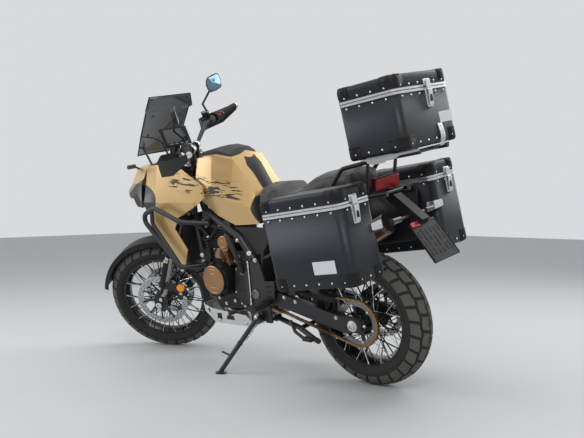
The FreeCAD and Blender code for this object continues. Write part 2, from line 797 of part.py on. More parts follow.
tank_rows = [
    (972, [(0, 1010), (58, 1010), (84, 1050), (66, 1106), (0, 1127)]),
    (900, [(0, 900), (132, 900), (166, 985), (120, 1118), (0, 1141)]),
    (780, [(0, 826), (146, 826), (172, 950), (126, 1128), (0, 1151)]),
    (660, [(0, 778), (148, 778), (164, 900), (108, 1104), (0, 1133)]),
    (590, [(0, 781), (146, 781), (154, 890), (98, 1010), (0, 1032)]),
    (534, [(0, 784), (140, 784), (150, 858), (110, 920), (0, 939)]),
    (495, [(0, 786), (134, 786), (140, 792), (60, 799), (0, 800)]),
]


def screen_stays(radius):
    """The two posts that rise from the lamp's bracket to the back of the screen."""
    return [rod((lamp_back - 6, side * 66, 1062), (lamp_back + 90, side * 78, 1262), radius)
            for side in (1, -1)]


def main_frame():
    head = Part.makeCylinder(size("head_tube_radius"), (head_high - head_low).Length,
                             head_low, steer_axis)
    spar = tube(spar_route, size("spar_radius"), [0, 60, 60, 0])
    pivot_plate = slab([(612, 640), (560, 646), (527, 590), (498, 470), (490, 330), (492, 288),
                        (528, 288), (580, 340), (640, 352), (640, 560)], 0, plate_inner,
                       plate_outer)
    knee = slab([(560, 570), (612, 570), (612, 646), (566, 646)], 0, plate_inner, plate_inner + 5)
    down = tube([(1094, 8, 978), (1070, 38, 926), (992, 112, 800), (962, 128, 640),
                 (948, 126, 590)], size("down_tube_radius"), [0, 0, 50, 0, 0])
    mount = slab([(925, 540), (965, 545), (972, 646), (900, 646), (892, 606)], 0,
                 engine_side + gap, engine_side + 12)
    hanger = slab([(842, 772), (886, 772), (900, 848), (852, 832)], 0, 128, 146)
    tank_pad = slab([(700, 758), (740, 778), (740, tank_floor(740) - gap),
                     (700, tank_floor(700) - gap)], 0, 132, 148)
    radiator_lug = rod((992, 112, 780), (1045, 112, 780), 8)
    radiator_room = slab([(1058 - gap, 565), (1200, 565), (1200, 830), (1022 - gap, 830)], 0,
                         -170, 170)
    radiator_lug = radiator_lug.cut(radiator_room)
    stand_lug = Part.makeCylinder(17, 16, stand_pivot - stand_axis * 28.3, stand_axis)
    stand_lug = stand_lug.fuse(rod(stand_pivot - stand_axis * 20, (562, plate_inner, 352), 12))
    stand_room = Part.makeCylinder(60, 60, stand_pivot - stand_axis * (12 + gap), stand_axis)
    stand_lug = stand_lug.cut(stand_room)
    pin = rod((centre_pivot.x, 110.5, centre_pivot.z), (centre_pivot.x, plate_outer,
                                                       centre_pivot.z), 8)
    side = spar.multiFuse([pivot_plate, knee, down, mount, hanger, tank_pad, radiator_lug, pin])
    nose_stay = Part.makePolygon([on_fork(h, a) + ACROSS * -22 for h, a in (
        (744, 20), (744, 145), (752, 262), (796, 262), (784, 153), (784, 20), (744, 20))])
    nose_stay = Part.Face(nose_stay).extrude(Vector(0, 44, 0))
    bracket = Part.makeBox(10, 160, 165, Vector(lamp_back - gap - 10, -80, 918))
    bracket = bracket.fuse(Part.makeBox(20, 44, 80, Vector(lamp_back - 29, -22, 1036)))
    dash_post = slab([(1212, 1062), (1246, 1068), (1226, 1236), (1199, 1240), (1180.7, 1191.7),
                      (1196, 1150)], 0, -18, 18)
    body = head.multiFuse([side, mirrored(side), stand_lug, nose_stay, bracket, dash_post])
    body = body.cut(Part.makeCylinder(15.5, 400, head_low - steer_axis * 60, steer_axis))
    ahead_of_screen = screen_loft(-gap - 4, 160)
    return body.multiFuse([stay.cut(ahead_of_screen) for stay in screen_stays(6)])


# Nose: a beak over the lamp housing, and the screen above it.

lamp_back = 1336.3
beak_rows = [
    (1654, [(0, 900), (22, 903), (27, 916), (16, 930), (0, 932)]),
    (1600, [(0, 913), (56, 905), (64, 950), (36, 984), (0, 996)]),
    (1454, [(0, 935), (110, 905), (130, 1000), (84, 1080), (0, 1094)]),
    (1330, [(0, 950), (190, 905), (172, 1000), (108, 1092), (0, 1106)]),
]
beak_hollow = [
    (1600, [(0, 860), (51, 860), (59, 949), (33, 980), (0, 991)]),
    (1454, [(0, 860), (106, 860), (125.5, 999), (81, 1076), (0, 1090)]),
    (1329, [(0, 860), (186, 860), (167.5, 999), (105, 1088), (0, 1102)]),
]
screen_rows = ((1405, 1150, 112, 46), (1304, 1259, 148, 46), (1224, 1384, 152, 34),
               (1208, 1392, 164, 32), (1187, 1458, 145, 14))


def screen_loft(near, far):
    """A bowed sheet: arcs through rows of edge x, height, half width and bow, near to far."""
    wires = []
    for x, z, half, bow in screen_rows:
        front = Part.Arc(Vector(x + far, -half, z), Vector(x + far + bow, 0, z),
                         Vector(x + far, half, z)).toShape()
        back = Part.Arc(Vector(x + near, half, z), Vector(x + near + bow, 0, z),
                        Vector(x + near, -half, z)).toShape()
        joins = [Part.LineSegment(Vector(x + far, half, z), Vector(x + near, half, z)).toShape(),
                 Part.LineSegment(Vector(x + near, -half, z), Vector(x + far, -half, z)).toShape()]
        wires.append(Part.Wire([front, joins[0], back, joins[1]]))
    return Part.makeLoft(wires, True, True)


keep("main_frame", main_frame())
keep("windscreen", screen_loft(-4, 0))


def rail_top(x):
    """Height of the top of the seat rails at a distance along the machine."""
    route = [(448, 798), (60, 880), (-230, 915)]
    for (x1, z1), (x2, z2) in zip(route, route[1:]):
        if x2 <= x <= x1:
            slope = (z2 - z1) / (x1 - x2)
            return z1 + slope * (x1 - x) + size("subframe_radius") * math.hypot(1, slope)
    return route[0][1] + size("subframe_radius")


def rail_side(x):
    """Distance of the seat rails' centre line from the middle plane."""
    route = [(448, 118), (60, 112), (-230, 84)]
    for (x1, y1), (x2, y2) in zip(route, route[1:]):
        if x2 <= x <= x1:
            return y1 + (y2 - y1) * (x1 - x) / (x1 - x2)
    return route[-1][1]


def subframe():
    rail = tube([(540, 126, 575), (500, 122, 690), (448, 118, 798), (60, 112, 880),
                 (-230, 84, 915)], size("subframe_radius"), [0, 0, 60, 0, 0])
    stay = tube([(530, 124.4, 604), (300, 120, 700), (80, 113, 876)], 10, 0)
    lug = rod((540, 122, 575), (540, plate_inner - gap, 575), 9)
    peg_bracket = rod((290, 106, 706), (270, 102, 474), 9)
    side = rail.multiFuse([stay, lug, peg_bracket])
    links = [rod((x, -rail_side(x), z), (x, rail_side(x), z), 9)
             for x, z in ((300, rail_top(300) - 12), (-200, rail_top(-200) - 12))]
    shock_mount = rod((503, -122, 714), (503, 122, 714), 12)
    return side.multiFuse([mirrored(side), shock_mount] + links)


keep("subframe", subframe())

# Engine: crankcase, leaning cylinders and head, as solid masses open to view.


def case_floor(x):
    """Height of the crankcase's underside."""
    return 340 - (x - 640) * 15 / 250


def engine():
    case = slab([(622, 345), (640, 340), (890, 325), (925, 400), (925, 560), (895, 640),
                 (640, 640), (618, 560)], 0, -engine_side, engine_side)
    pocket = Part.makeBox(102, 26, 112, Vector(600, 86.2, 372))
    case = case.cut(pocket)
    shaft = Part.makeCylinder(12, 22, Vector(front_sprocket.x, 84, front_sprocket.z), ACROSS)
    pinion = Part.makeCylinder(front_pitch - chain_half - gap, sprocket_wall,
                               Vector(front_sprocket.x, chain_line - sprocket_wall / 2,
                                      front_sprocket.z), ACROSS)
    clutch = Part.makeCylinder(92, 62, Vector(760, -180, 450), ACROSS)
    drive = Part.makeCylinder(94, 60, Vector(820, 118, 500), ACROSS)
    cover = slab([(624, 372), (700, 360), (736, 430), (712, 560), (624, 560)], 0, 112.4, 143.5)
    barrel = slab([(745, 630), (922, 630), (948, 740), (782, 740)], 0, -112, 112)
    top = slab([(778, 738), (956, 738), (976, 806), (900, 846), (806, 826)], 0, -103, 103)
    fins = []
    for level in range(6):
        z = 646 + 15 * level
        rear, front = 738 + (z - 630) * 0.34, 929 + (z - 630) * 0.236
        fins.append(Part.makeBox(front - rear, 118 + 111.9, 4, Vector(rear, -118, z)))
        fins.append(Part.makeBox(front - 802, 7, 4, Vector(802, 111, z)))
    filter_can = Part.makeCylinder(29, 32, Vector(919, 0, 470), FORWARD)
    return case.multiFuse([shaft, pinion, clutch, drive, cover, barrel, top, filter_can]
                          + fins)


keep("engine_block", engine())


def engine_cover_set():
    big = turned("generator_cover", [(0, 0), (0, 78), (22, 74), (26, 62), (26, 0)])
    big.Placement = Placement(Vector(820, 178 + gap, 500), Rotation())
    small = turned("pump_cover", [(0, 0), (0, 36), (52, 34), (58, 26), (58, 0)])
    small.Placement = Placement(Vector(752, 112 + gap, 690), Rotation())
    right = turned("clutch_cover", [(0, 0), (0, 86), (-20, 82), (-24, 70), (-24, 0)])
    right.Placement = Placement(Vector(760, -180 - gap, 450), Rotation())
    covers = document.addObject("Part::Compound", "engine_covers")
    covers.Links = [big, small, right]
    return covers


adopt("engine_covers", engine_cover_set())
radiator_face = [(1058, 565), (1024, 815)]
adopt("radiator", plate("radiator", [radiator_face[0], (1092, 571), (1058, 820),
                                     radiator_face[1]], 0, -150, 300.0))


silencer_foot = Vector(392, -164, 512)
silencer_top = Vector(-40, -160, 735)
can_way = (silencer_top - silencer_foot).normalize()


def exhaust():
    pipes = [tube([(968.8, side, 780), (1002, side, 770.2), (972, side, 400), (946, side, 308),
                   (870, side * 0.9, 287), (722, -30 + side * 0.4, 287)], 18, [0, 24, 0, 50, 30, 0])
             for side in (-52, 52)]
    run = [(760, -30, 287), (640, -50, 287), (565, -182, 289), (480, -182, 300),
           (458, -168, 430), silencer_foot - can_way * 46, silencer_foot - can_way * gap]
    link = tube(run, 23, [0, 50, 50, 34, 34, 30, 0])
    return pipes[0].multiFuse([pipes[1], link])


def silencer():
    can = Part.makeCylinder(50, (silencer_top - silencer_foot).Length, silencer_foot, can_way)
    mouth = Part.makeCylinder(18, 60, silencer_top - can_way * 50, can_way)
    return can.cut(mouth)


keep("exhaust_pipe", exhaust())
keep("silencer", silencer())


def bash_plate():
    outer = slab([(650, 244), (935, 244), (1006, 300), (1012, 344), (1004, 344), (998, 304),
                  (931, 252), (650, 252)], 0, -128, 128)
    wing = slab([(650, 246), (935, 246), (1004, 302), (1006, 336), (944, 316), (700, 302),
                 (650, 266)], 0, 124, 128)
    posts = [rod((x, 100, 250), (x, 100, case_floor(x) - gap - 0.5), 8) for x in (700, 870)]
    side = posts[0].multiFuse([posts[1], wing])
    return outer.multiFuse([side, mirrored(side)])


keep("bash_plate", bash_plate())


def engine_guard():
    loop = tube([(864, 148, 787), (955, 248, 808), (1150, 250, 884), (1280, 246, 836),
                 (1010, 244, 566), (945, 136, 560)], size("guard_radius"), [0, 38, 38, 38, 38, 0])
    brace = tube([(1178, 247, 872), (1200, 240, 800), (1030, 240, 588)], 11, [0, 30, 0])
    upper = Part.makeCylinder(17, 9, Vector(864, 146 + gap, 787), ACROSS)
    lower = Part.makeCylinder(17, 9, Vector(945, engine_side + 12 + gap, 560), ACROSS)
    loop = loop.cut(Part.makeBox(400, 146 + gap, 60, Vector(700, 0, 757)))
    loop = loop.cut(Part.makeBox(400, engine_side + 12 + gap, 60, Vector(700, 0, 530)))
    return both(loop.multiFuse([brace, upper, lower]))


keep("engine_guard", engine_guard())

# Tank and panels.

tank = hull(tank_rows, 0)
keep("fuel_tank", tank)

cover_rows = [
    (958, [(0, 1120), (60, 1112), (62, 1122), (30, 1141), (0, 1144)]),
    (780, [(0, 1146), (98, 1136), (94, 1150), (60, 1166), (0, 1168)]),
    (690, [(0, 1130), (94, 1112), (88, 1126), (50, 1150), (0, 1153)]),
    (600, [(0, 1040), (46, 1032), (42, 1046), (20, 1058), (0, 1062)]),
    (538, [(0, 936), (42, 930), (38, 942), (20, 952), (0, 955)]),
]
keep("tank_cover", hull(cover_rows, 0).cut(tank))


def panel_strip(lower, upper, wall):
    """A thin panel between two rows of points, as thick as wall towards the middle plane."""
    parts = []
    for index in range(len(lower) - 1):
        corners = [Vector(*p) for p in (lower[index], lower[index + 1], upper[index + 1],
                                        upper[index])]
        low = Part.LineSegment(corners[0], corners[1]).toShape()
        high = Part.LineSegment(corners[3], corners[2]).toShape()
        face = Part.makeRuledSurface(low, high)
        parts.append(face.extrude(Vector(0, -wall, 0)))
    return parts[0].multiFuse(parts[1:])


def shroud():
    """Side panel from the nose to the tank's flank, with a tip beside the radiator."""
    lower = slab([(1279, 854), (1226, 820), (1231, 742), (1116, 582), (1061, 542), (1025, 562),
                  (986, 653), (1034, 722), (1063, 764), (1024, 823), (889, 878), (880, 905),
                  (1290, 905)], 0, 200, 205)
    foot = [(1290, 205, 902), (1200, 205, 902), (1080, 205, 902), (985, 205, 902),
            (880, 203, 884), (814, 190, 925)]
    head = [(1330, 112, 1092), (1200, 150, 1100), (1080, 164, 1094), (985, 168, 1070),
            (900, 178, 1025), (825, 184, 982)]
    upper = panel_strip(foot, head, 5)
    pins = [rod((x, 150 + gap, z), (x, 202, z), 6) for x, z in ((1064, 650), (1068, 560 + 30))]
    return lower.multiFuse([upper] + pins)


keep("side_shrouds", both(shroud()))
beak_open = hull(beak_hollow, 0)
keep("nose_fairing", hull(beak_rows, 0).cut(beak_open).cut(
    Part.makeCompound(screen_stays(6 + gap))))


def lamp_housing():
    """The lamp unit fills the beak's hollow from just inside its skin."""
    room = hull([(x, [(max(0, y - 0.5), z - 0.5) for y, z in half])
                 for x, half in beak_hollow], 0)
    block = slab([(lamp_back, 880), (1460, 850), (1510, 850), (1556, 905), (1566, 945),
                  (lamp_back, 990)], 0, -150, 150)
    return block.common(room)


keep("headlamp", lamp_housing())
keep("instrument_panel", slab([(1166, 1184), (1176, 1181), (1214, 1281), (1204, 1286)], 0,
                              -92, 92))

saddle = gap + 0.1
seat_rows = [
    (530, [(0, 931), (60, 930), (66, 940), (40, 948), (0, 950)]),
    (494, [(0, 807), (118, 807), (132, 880), (104, 948), (0, 962)]),
    (400, [(0, rail_top(400) + saddle), (142, rail_top(400) + saddle), (148, 880), (118, 952),
           (0, 966)]),
    (351, [(0, rail_top(351) + saddle), (148, rail_top(351) + saddle), (152, 868), (126, 906),
           (0, 920)]),
    (240.5, [(0, rail_top(240.5) + saddle), (138, rail_top(240.5) + saddle), (142, 890),
             (116, 930), (0, 944)]),
]
rear_seat_rows = [
    (x, [(0, rail_top(x) + saddle), (low, rail_top(x) + saddle), (wide, middle),
         (shoulder, high - 14), (0, high)])
    for x, low, wide, middle, shoulder, high in (
        (236, 112, 122, 905, 96, 962), (150, 118, 128, 930, 104, 1003),
        (60, 116, 124, 946, 102, 1016), (-58, 106, 114, 960, 94, 1024))
]
keep("rider_seat", hull(seat_rows, 0))
keep("passenger_seat", hull(rear_seat_rows, 0))


def side_cover():
    panel = slab([(680, 768), (626, 736), (548, 630), (500, 640), (462, 690), (454, 768)], 0,
                 138, 144)
    return panel.fuse(rod((498, 134 + gap, 700), (498, 140, 700), 8))


keep("side_covers", both(side_cover()))
tail_rows = [
    (120, [(0, 850), (82, 850), (86, rail_top(120) - 4), (82, rail_top(120) + 0.1),
           (0, rail_top(120) + 0.1)]),
    (60, [(0, 858), (82, 858), (86, 880), (82, rail_top(60) + 0.1), (0, rail_top(60) + 0.1)]),
    (-58, [(0, 876), (76, 876), (78, 896), (74, rail_top(-58) + 0.1), (0, rail_top(-58) + 0.1)]),
    (-100, [(0, 896), (70, 896), (76, 935), (60, 962), (0, 966)]),
    (-150, [(0, 925), (58, 925), (68, 945), (56, 985), (0, 985)]),
]
keep("tail_section", hull(tail_rows, 0))
adopt("tail_lamp", plate("tail_lamp", [(-150.3, 930), (-176, 926), (-184, 978), (-150.3, 982)],
                         0, -88, 176.0))


def plate_holder():
    hook = rail_top(-200) - 12 - 9 - gap
    arm = slab([(-178, hook - 20), (-184, hook), (-222, hook), (-356, 794), (-336, 764)], 0,
               -30, 30)
    plate_face = slab([(-326, 782), (-334, 778), (-447, 626), (-439, 622)], 0, -98, 98)
    return arm.fuse(plate_face)


keep("plate_holder", plate_holder())


def indicator_pairs():
    rear = Part.makeCylinder(13, 58, Vector(-290, 100, 809), ACROSS)
    rear = rear.fuse(rod((-290, 30 + gap, 812), (-290, 104, 809), 6))
    front = Part.makeCylinder(12, 46, Vector(1440, 114, 1096), ACROSS)
    front = front.fuse(rod((1440, 82, 1074), (1440, 118, 1096), 6))
    skin = hull([(x, [(y + gap if y else 0, z + gap) for y, z in half])
                 for x, half in beak_rows], 0)
    return both(rear), both(front.cut(skin))


rear_indicators, front_indicators = indicator_pairs()
keep("indicators", Part.makeCompound([rear_indicators, front_indicators]))

# Luggage: a rack over the tail, a hoop at each side and three cases that sit on them.

case_tilt = size("case_tilt")
top_case_corner = Vector(size("top_case_x"), 0,
                         size("top_case_seat") + size("top_case_height"))
top_case_place = Placement(top_case_corner, Rotation(ACROSS, case_tilt))
rack_wall = 6
rack_top = -size("top_case_height") - gap


def luggage_rack():
    """Two rails that rise beside the seat and run back under the case's plate."""
    plate_under = top_case_place.multVec(Vector(100, 0, rack_top - rack_wall - gap - 10))
    rear = top_case_place.multVec(Vector(-148, 0, rack_top - rack_wall - gap - 10))
    rail = tube([(30, rail_side(30) + 22 + gap, 884), (22, 141, 960), (-44, 141, 1036),
                 (plate_under.x, 108, plate_under.z), (rear.x, 108, rear.z)], 10,
                [0, 0, 40, 30, 0])
    cross = []
    for along in (70, -100):
        spot = top_case_place.multVec(Vector(along, 0, rack_top - rack_wall - gap - 10))
        cross.append(rod((spot.x, 0, spot.z), (spot.x, 108, spot.z), 8))
    leg = rod((-138, 97, rail_top(-138) + gap + 1.3), (-160, 106, 1048), 8)
    side = rail.multiFuse([leg] + cross)
    return side.fuse(mirrored(side))


def rack_plate():
    """The case's carrier plate with two long windows."""
    flat = Part.makeBox(300, 236, rack_wall, Vector(-150, -118, rack_top - rack_wall))
    for side in (-1, 1):
        window = Part.makeBox(220, 60, rack_wall, Vector(-110, side * 55 - 30,
                                                         rack_top - rack_wall))
        flat = flat.cut(window)
    return flat


keep("luggage_rack", luggage_rack())
keep("rack_plate", rack_plate(), "chassis", top_case_place)

rack_radius = size("rack_radius")
rack_line = size("side_case_y") - size("side_case_width") / 2 - gap - rack_radius


def pannier_rack():
    hoop = [(140, rack_line, 868), (-176, rack_line, 908), (-150, rack_line, 650),
            (130, rack_line, 612)]
    ring = loop_tube(hoop, rack_radius, 34)
    ties = []
    for x in (90, -60):
        z = rail_top(x) - size("subframe_radius")
        inner = rail_side(x) + size("subframe_radius") + 0.9
        ties.append(rod((x, inner, z), (x, rack_line, 868 + (140 - x) * 40 / 316), 8))
    return both(ring.multiFuse(ties))


keep("pannier_racks", pannier_rack())

# Cases: an open box of folded sheet with a lid that hinges along its front edge.


def open_box(length, width, height, floor, wall, corner):
    """A box of sheet with rounded upright corners, open upwards from its floor at z = 0."""
    def block(inset, low, high):
        half_x, half_y = length / 2 - inset, width / 2 - inset
        outline = [Vector(half_x, half_y, low), Vector(-half_x, half_y, low),
                   Vector(-half_x, -half_y, low), Vector(half_x, -half_y, low)]
        face = Part.Face(rounded(outline, corner - inset, closed=True))
        return face.extrude(Vector(0, 0, high - low))
    return block(0, 0, height).cut(block(wall, floor, height + 1))


def case_pair(prefix, lid_label, box_label, centre):
    length = size(prefix + "_case_length")
    width = size(prefix + "_case_width")
    height = size(prefix + "_case_height")
    wall = size("case_wall")
    corner = size("case_corner")
    body = open_box(length, width, height, wall, wall, corner)
    body.translate(Vector(0, 0, -height))
    lid = open_box(length, width, size("lid_height"), wall, wall, corner)
    lid.rotate(ORIGIN, FORWARD, 180)
    lid.translate(Vector(0, 0, size("lid_height") + size("lid_gap")))
    local = Placement(centre, Rotation(ACROSS, size("case_tilt")))
    keep(box_label, body, "chassis", local)
    keep(lid_label, lid, lid_label, local)


def lid_hinge(prefix):
    """The hinge line of a lid in its case's frame: its distance ahead and its height."""
    return size(prefix + "_case_length") / 2 + size("hinge_radius"), size("lid_gap") / 2


side_y = size("side_case_y")
case_pair("side", "left_lid", "left_case", Vector(size("side_case_x"), side_y,
                                                  size("side_case_z")))
case_pair("side", "right_lid", "right_case", Vector(size("side_case_x"), -side_y,
                                                    size("side_case_z")))
case_pair("top", "top_lid", "top_case", top_case_corner)

# Swingarm, shock, rear caliper and pegs.

pivot = Vector(size("swingarm_pivot_x"), 0, size("swingarm_pivot_z"))


def swingarm():
    inner, outer = size("arm_inner"), size("arm_outer")
    outline = [(603, 404), (603, 456), (420, 440), (60, 360), (-48, 352), (-48, 290),
               (60, 286), (420, 372)]
    arm = slab(outline, 14, inner, outer)
    tube_across = Part.makeCylinder(size("swingarm_tube_radius"), 2 * outer,
                                    pivot - ACROSS * outer, ACROSS)
    brace = slab([(440, 395), (500, 402), (500, 440), (440, 440)], 0, -inner - 1, inner + 1)
    half = size("axle_half_length")
    axle = Part.makeCylinder(size("axle_radius"), 2 * half, rear_centre - ACROSS * half, ACROSS)
    caliper_lug = slab([(60, 350), (100, 360), (92, 404), (60, 404)], 0, -outer + 14, -inner)
    body = arm.multiFuse([mirrored(arm), tube_across, brace, axle, caliper_lug])
    bore = Part.makeCylinder(size("axle_bore"), 2 * half + 20,
                             rear_centre - ACROSS * (half + 10), ACROSS)
    return body.cut(bore)


def rear_shock():
    """A spring unit between the arm's brace and the cross tube above it."""
    unit = rod((470, 0, 420), (502, 0, 716), 34)
    unit = unit.cut(Part.makeBox(200, 200, 60, Vector(370, -100, 380 + gap)))
    unit = unit.cut(Part.makeCylinder(12 + gap, 300, Vector(503, -150, 714), ACROSS))
    return max(unit.Solids, key=lambda piece: piece.Volume)


keep("swingarm", swingarm())
keep("rear_shock", rear_shock())
rear_caliper = caliper(rear_centre, size("rear_disc_radius"), -size("rear_disc_offset"),
                       size("rear_disc_wall"), 60, 14,
                       size("arm_inner") - gap - size("rear_disc_offset"))
keep("rear_caliper", rear_caliper)


def pegs():
    peg = Part.makeBox(52, 92, 22, Vector(502, plate_outer + gap, 372))
    rear = Part.makeBox(44, 110, 20, Vector(249, 111 + gap, 466))
    return both(peg), both(rear)


front_pegs, rear_pegs = pegs()
keep("footpegs", Part.makeCompound([front_pegs, rear_pegs]))


# Place every piece by its carrier, then centre the whole machine over the origin.

carriers = {
    "chassis": stance, "rear_wheel": stance, "side_stand": stance, "centre_stand": stance,
    "left_lid": stance, "right_lid": stance, "top_lid": stance,
    "steering": stance.multiply(steer_turn), "front_wheel": stance.multiply(steer_turn),
}


def place_all(shift):
    for piece, carrier, local in pieces.values():
        piece.Placement = shift.multiply(carriers[carrier]).multiply(local)


place_all(Placement())
document.recompute()
whole = FreeCAD.BoundBox()
for piece, carrier, local in pieces.values():
    whole.add(piece.Shape.optimalBoundingBox(False))
centring = Placement(Vector(-whole.Center.x, -whole.Center.y, -whole.ZMin), Rotation())
place_all(centring)
document.recompute()

for item in document.Objects:
    if "Invalid" in item.State or "Error" in item.State:
        raise RuntimeError("object failed: " + item.Label)
os.makedirs("parts", exist_ok=True)
for label, (piece, carrier, local) in pieces.items():
    if piece.Shape.isNull() or not piece.Shape.isValid():
        raise RuntimeError("shape failed: " + label)
    if piece.Shape.Volume < 1:
        raise RuntimeError("shape is empty: " + label)
    piece.Shape.exportStep(os.path.join("parts", label + ".step"))
print("box", whole)
print("pieces", len(pieces))
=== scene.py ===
import json
import math

import bmesh
import bpy
import numpy as np
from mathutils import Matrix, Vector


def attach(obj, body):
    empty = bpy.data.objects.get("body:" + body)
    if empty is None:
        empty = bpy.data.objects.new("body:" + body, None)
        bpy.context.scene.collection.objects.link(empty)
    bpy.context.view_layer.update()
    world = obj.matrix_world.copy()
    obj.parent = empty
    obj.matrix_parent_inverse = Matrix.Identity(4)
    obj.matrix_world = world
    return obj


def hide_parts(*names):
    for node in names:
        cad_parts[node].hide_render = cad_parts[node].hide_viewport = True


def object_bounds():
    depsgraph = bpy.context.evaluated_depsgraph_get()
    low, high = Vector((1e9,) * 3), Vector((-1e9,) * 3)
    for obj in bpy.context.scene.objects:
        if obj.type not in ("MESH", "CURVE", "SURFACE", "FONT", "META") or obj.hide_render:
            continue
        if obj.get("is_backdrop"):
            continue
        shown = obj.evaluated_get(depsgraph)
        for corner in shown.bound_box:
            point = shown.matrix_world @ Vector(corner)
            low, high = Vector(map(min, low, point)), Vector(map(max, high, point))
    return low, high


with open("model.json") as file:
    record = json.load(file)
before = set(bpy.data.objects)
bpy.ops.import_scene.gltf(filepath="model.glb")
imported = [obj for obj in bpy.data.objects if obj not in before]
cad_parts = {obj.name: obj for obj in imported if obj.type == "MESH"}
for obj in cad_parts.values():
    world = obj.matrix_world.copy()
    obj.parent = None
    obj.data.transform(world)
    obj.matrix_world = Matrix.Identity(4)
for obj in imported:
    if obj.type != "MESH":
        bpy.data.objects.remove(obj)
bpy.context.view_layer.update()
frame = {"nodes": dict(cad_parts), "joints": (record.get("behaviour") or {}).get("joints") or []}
nodes = frame["nodes"]
scene = bpy.context.scene

# The stance. The machine leans on its side stand with its bars turned to the stop.
# Two joints give it: the rear axle points across the machine, and the steering axis
# gives the rake. Pieces below are drawn upright in millimetres, then set down by it.

joints = {joint["name"]: joint for joint in frame["joints"]}
rear_spin, steering = joints["rear_wheel_spin"], joints["steering_turn"]
front_spin = joints["front_wheel_spin"]
RAKE = math.radians(26)
rear_radius, front_radius, wheelbase = 320.9, 329.3, 1460.3


def unit(vector):
    return np.asarray(vector, float) / np.linalg.norm(vector)


def triad(first, second):
    """Three unit vectors as columns: the first, the second squared to it, and their product."""
    first = unit(first)
    second = unit(np.asarray(second) - first * np.dot(first, second))
    return np.stack([first, second, np.cross(first, second)], axis=1)


upright = triad((0, 1, 0), (-math.sin(RAKE), 0, math.cos(RAKE)))
stance = triad(rear_spin["axis"], steering["axis"]) @ upright.T
rear_hub = np.array(rear_spin["pos_m"])
steer_pivot, steer_axis = np.array(steering["pos_m"]), unit(steering["axis"])
across, front_across = unit(rear_spin["axis"]), unit(front_spin["axis"])
steer_angle = math.atan2(np.dot(steer_axis, np.cross(across, front_across)),
                         np.dot(across, front_across))


def spun(points, axis, angle):
    """Turns points about an axis: the part along it stays, the rest swings by the angle."""
    along = np.outer(points @ axis, axis)
    rest = points - along
    return along + rest * math.cos(angle) + np.cross(axis, rest) * math.sin(angle)


def chassis(points):
    """Upright millimetres to the leaning machine in metres."""
    points = np.asarray(points, float).reshape(-1, 3) / 1000
    return (points - (0, 0, rear_radius / 1000)) @ stance.T + rear_hub


def steered(points):
    """The same, turned with the bars."""
    return spun(chassis(points) - steer_pivot, steer_axis, steer_angle) + steer_pivot


# The camera stands behind the rear left corner at chest height, and looks past the cases
# at the whole machine. Its place is taken from the rear hub.

camera_height, camera_back, camera_left = 0.863, 2.1946, 2.9950
camera_heading, camera_pitch, camera_lens = 138.12, 1.397, 49.24

camera = bpy.data.objects.new("camera", bpy.data.cameras.new("camera"))
scene.collection.objects.link(camera)
camera.data.lens = camera_lens
camera.data.sensor_width = 36
camera.location = (rear_hub[0] - camera_back, rear_hub[1] + camera_left, camera_height)
camera.rotation_euler = (math.radians(90 - camera_pitch), 0, math.radians(-camera_heading))
scene.camera = camera

# Shader sums are written as plain Python on this small wrapper round a socket.


class Value:
    """A number or colour that runs along a node tree."""

    def __init__(self, tree, socket):
        self.tree, self.socket = tree, socket

    def node(self, kind, settings=None, out=0, **inputs):
        """Any other node: its settings first, then values or links for its sockets."""
        made = self.tree.nodes.new("ShaderNode" + kind)
        for key, value in (settings or {}).items():
            setattr(made, key, value)
        for key, value in inputs.items():
            socket = made.inputs[int(key[1:])] if key[1:].isdigit() else made.inputs[
                key.replace("_", " ")]
            if isinstance(value, Value):
                self.tree.links.new(value.socket, socket)
            else:
                socket.default_value = value
        return Value(self.tree, made.outputs[out])

    def maths(self, operation, *others):
        sockets = {"s%d" % n: value for n, value in enumerate((self,) + others)}
        return self.node("Math", {"operation": operation}, **sockets)

    def __add__(self, other):
        return self.maths("ADD", other)

    def __sub__(self, other):
        return self.maths("SUBTRACT", other)

    def __rsub__(self, other):
        return (self * -1) + other

    def __mul__(self, other):
        return self.maths("MULTIPLY", other)

    def __truediv__(self, other):
        return self.maths("DIVIDE", other)

    def __pow__(self, other):
        return self.maths("POWER", other)

    def __abs__(self):
        return self.maths("ABSOLUTE")

    __radd__, __rmul__ = __add__, __mul__

    def above(self, edge, soft=0.01):
        """Nought below an edge and one above it, with a soft step between."""
        return self.node("MapRange", {"interpolation_type": "SMOOTHSTEP"}, s0=self,
                         s1=edge - soft, s2=edge + soft)

    def below(self, edge, soft=0.01):
        return 1 - self.above(edge, soft)

    def most(self, other):
        return self.maths("MAXIMUM", other)

    def least(self, other):
        return self.maths("MINIMUM", other)

    def wrapped(self, step):
        """Distance from the nearest multiple of a step."""
        return abs(self.maths("WRAP", step / 2, -step / 2))

    def colours(self, first, second):
        """One colour where the number is nought, the other where it is one."""
        made = self.tree.nodes.new("ShaderNodeMix")
        made.data_type = "RGBA"
        self.tree.links.new(self.socket, made.inputs["Factor"])
        for slot, colour in ((6, first), (7, second)):
            if isinstance(colour, Value):
                self.tree.links.new(colour.socket, made.inputs[slot])
            else:
                made.inputs[slot].default_value = (*colour, 1)
        return Value(self.tree, made.outputs[2])

    def parts(self):
        split = self.tree.nodes.new("ShaderNodeSeparateXYZ")
        self.tree.links.new(self.socket, split.inputs[0])
        return [Value(self.tree, socket) for socket in split.outputs]


def material(name, **shader):
    """A new material, its shader's fixed values set, and the object's own coordinates."""
    made = bpy.data.materials.new(name)
    made.use_nodes = True
    tree = made.node_tree
    shader_node = tree.nodes["Principled BSDF"]
    for key, value in shader.items():
        value = (*value, 1) if isinstance(value, tuple) and len(value) == 3 else value
        shader_node.inputs[key.replace("_", " ")].default_value = value
    place = Value(tree, tree.nodes.new("ShaderNodeTexCoord").outputs["Object"])
    return made, shader_node, place


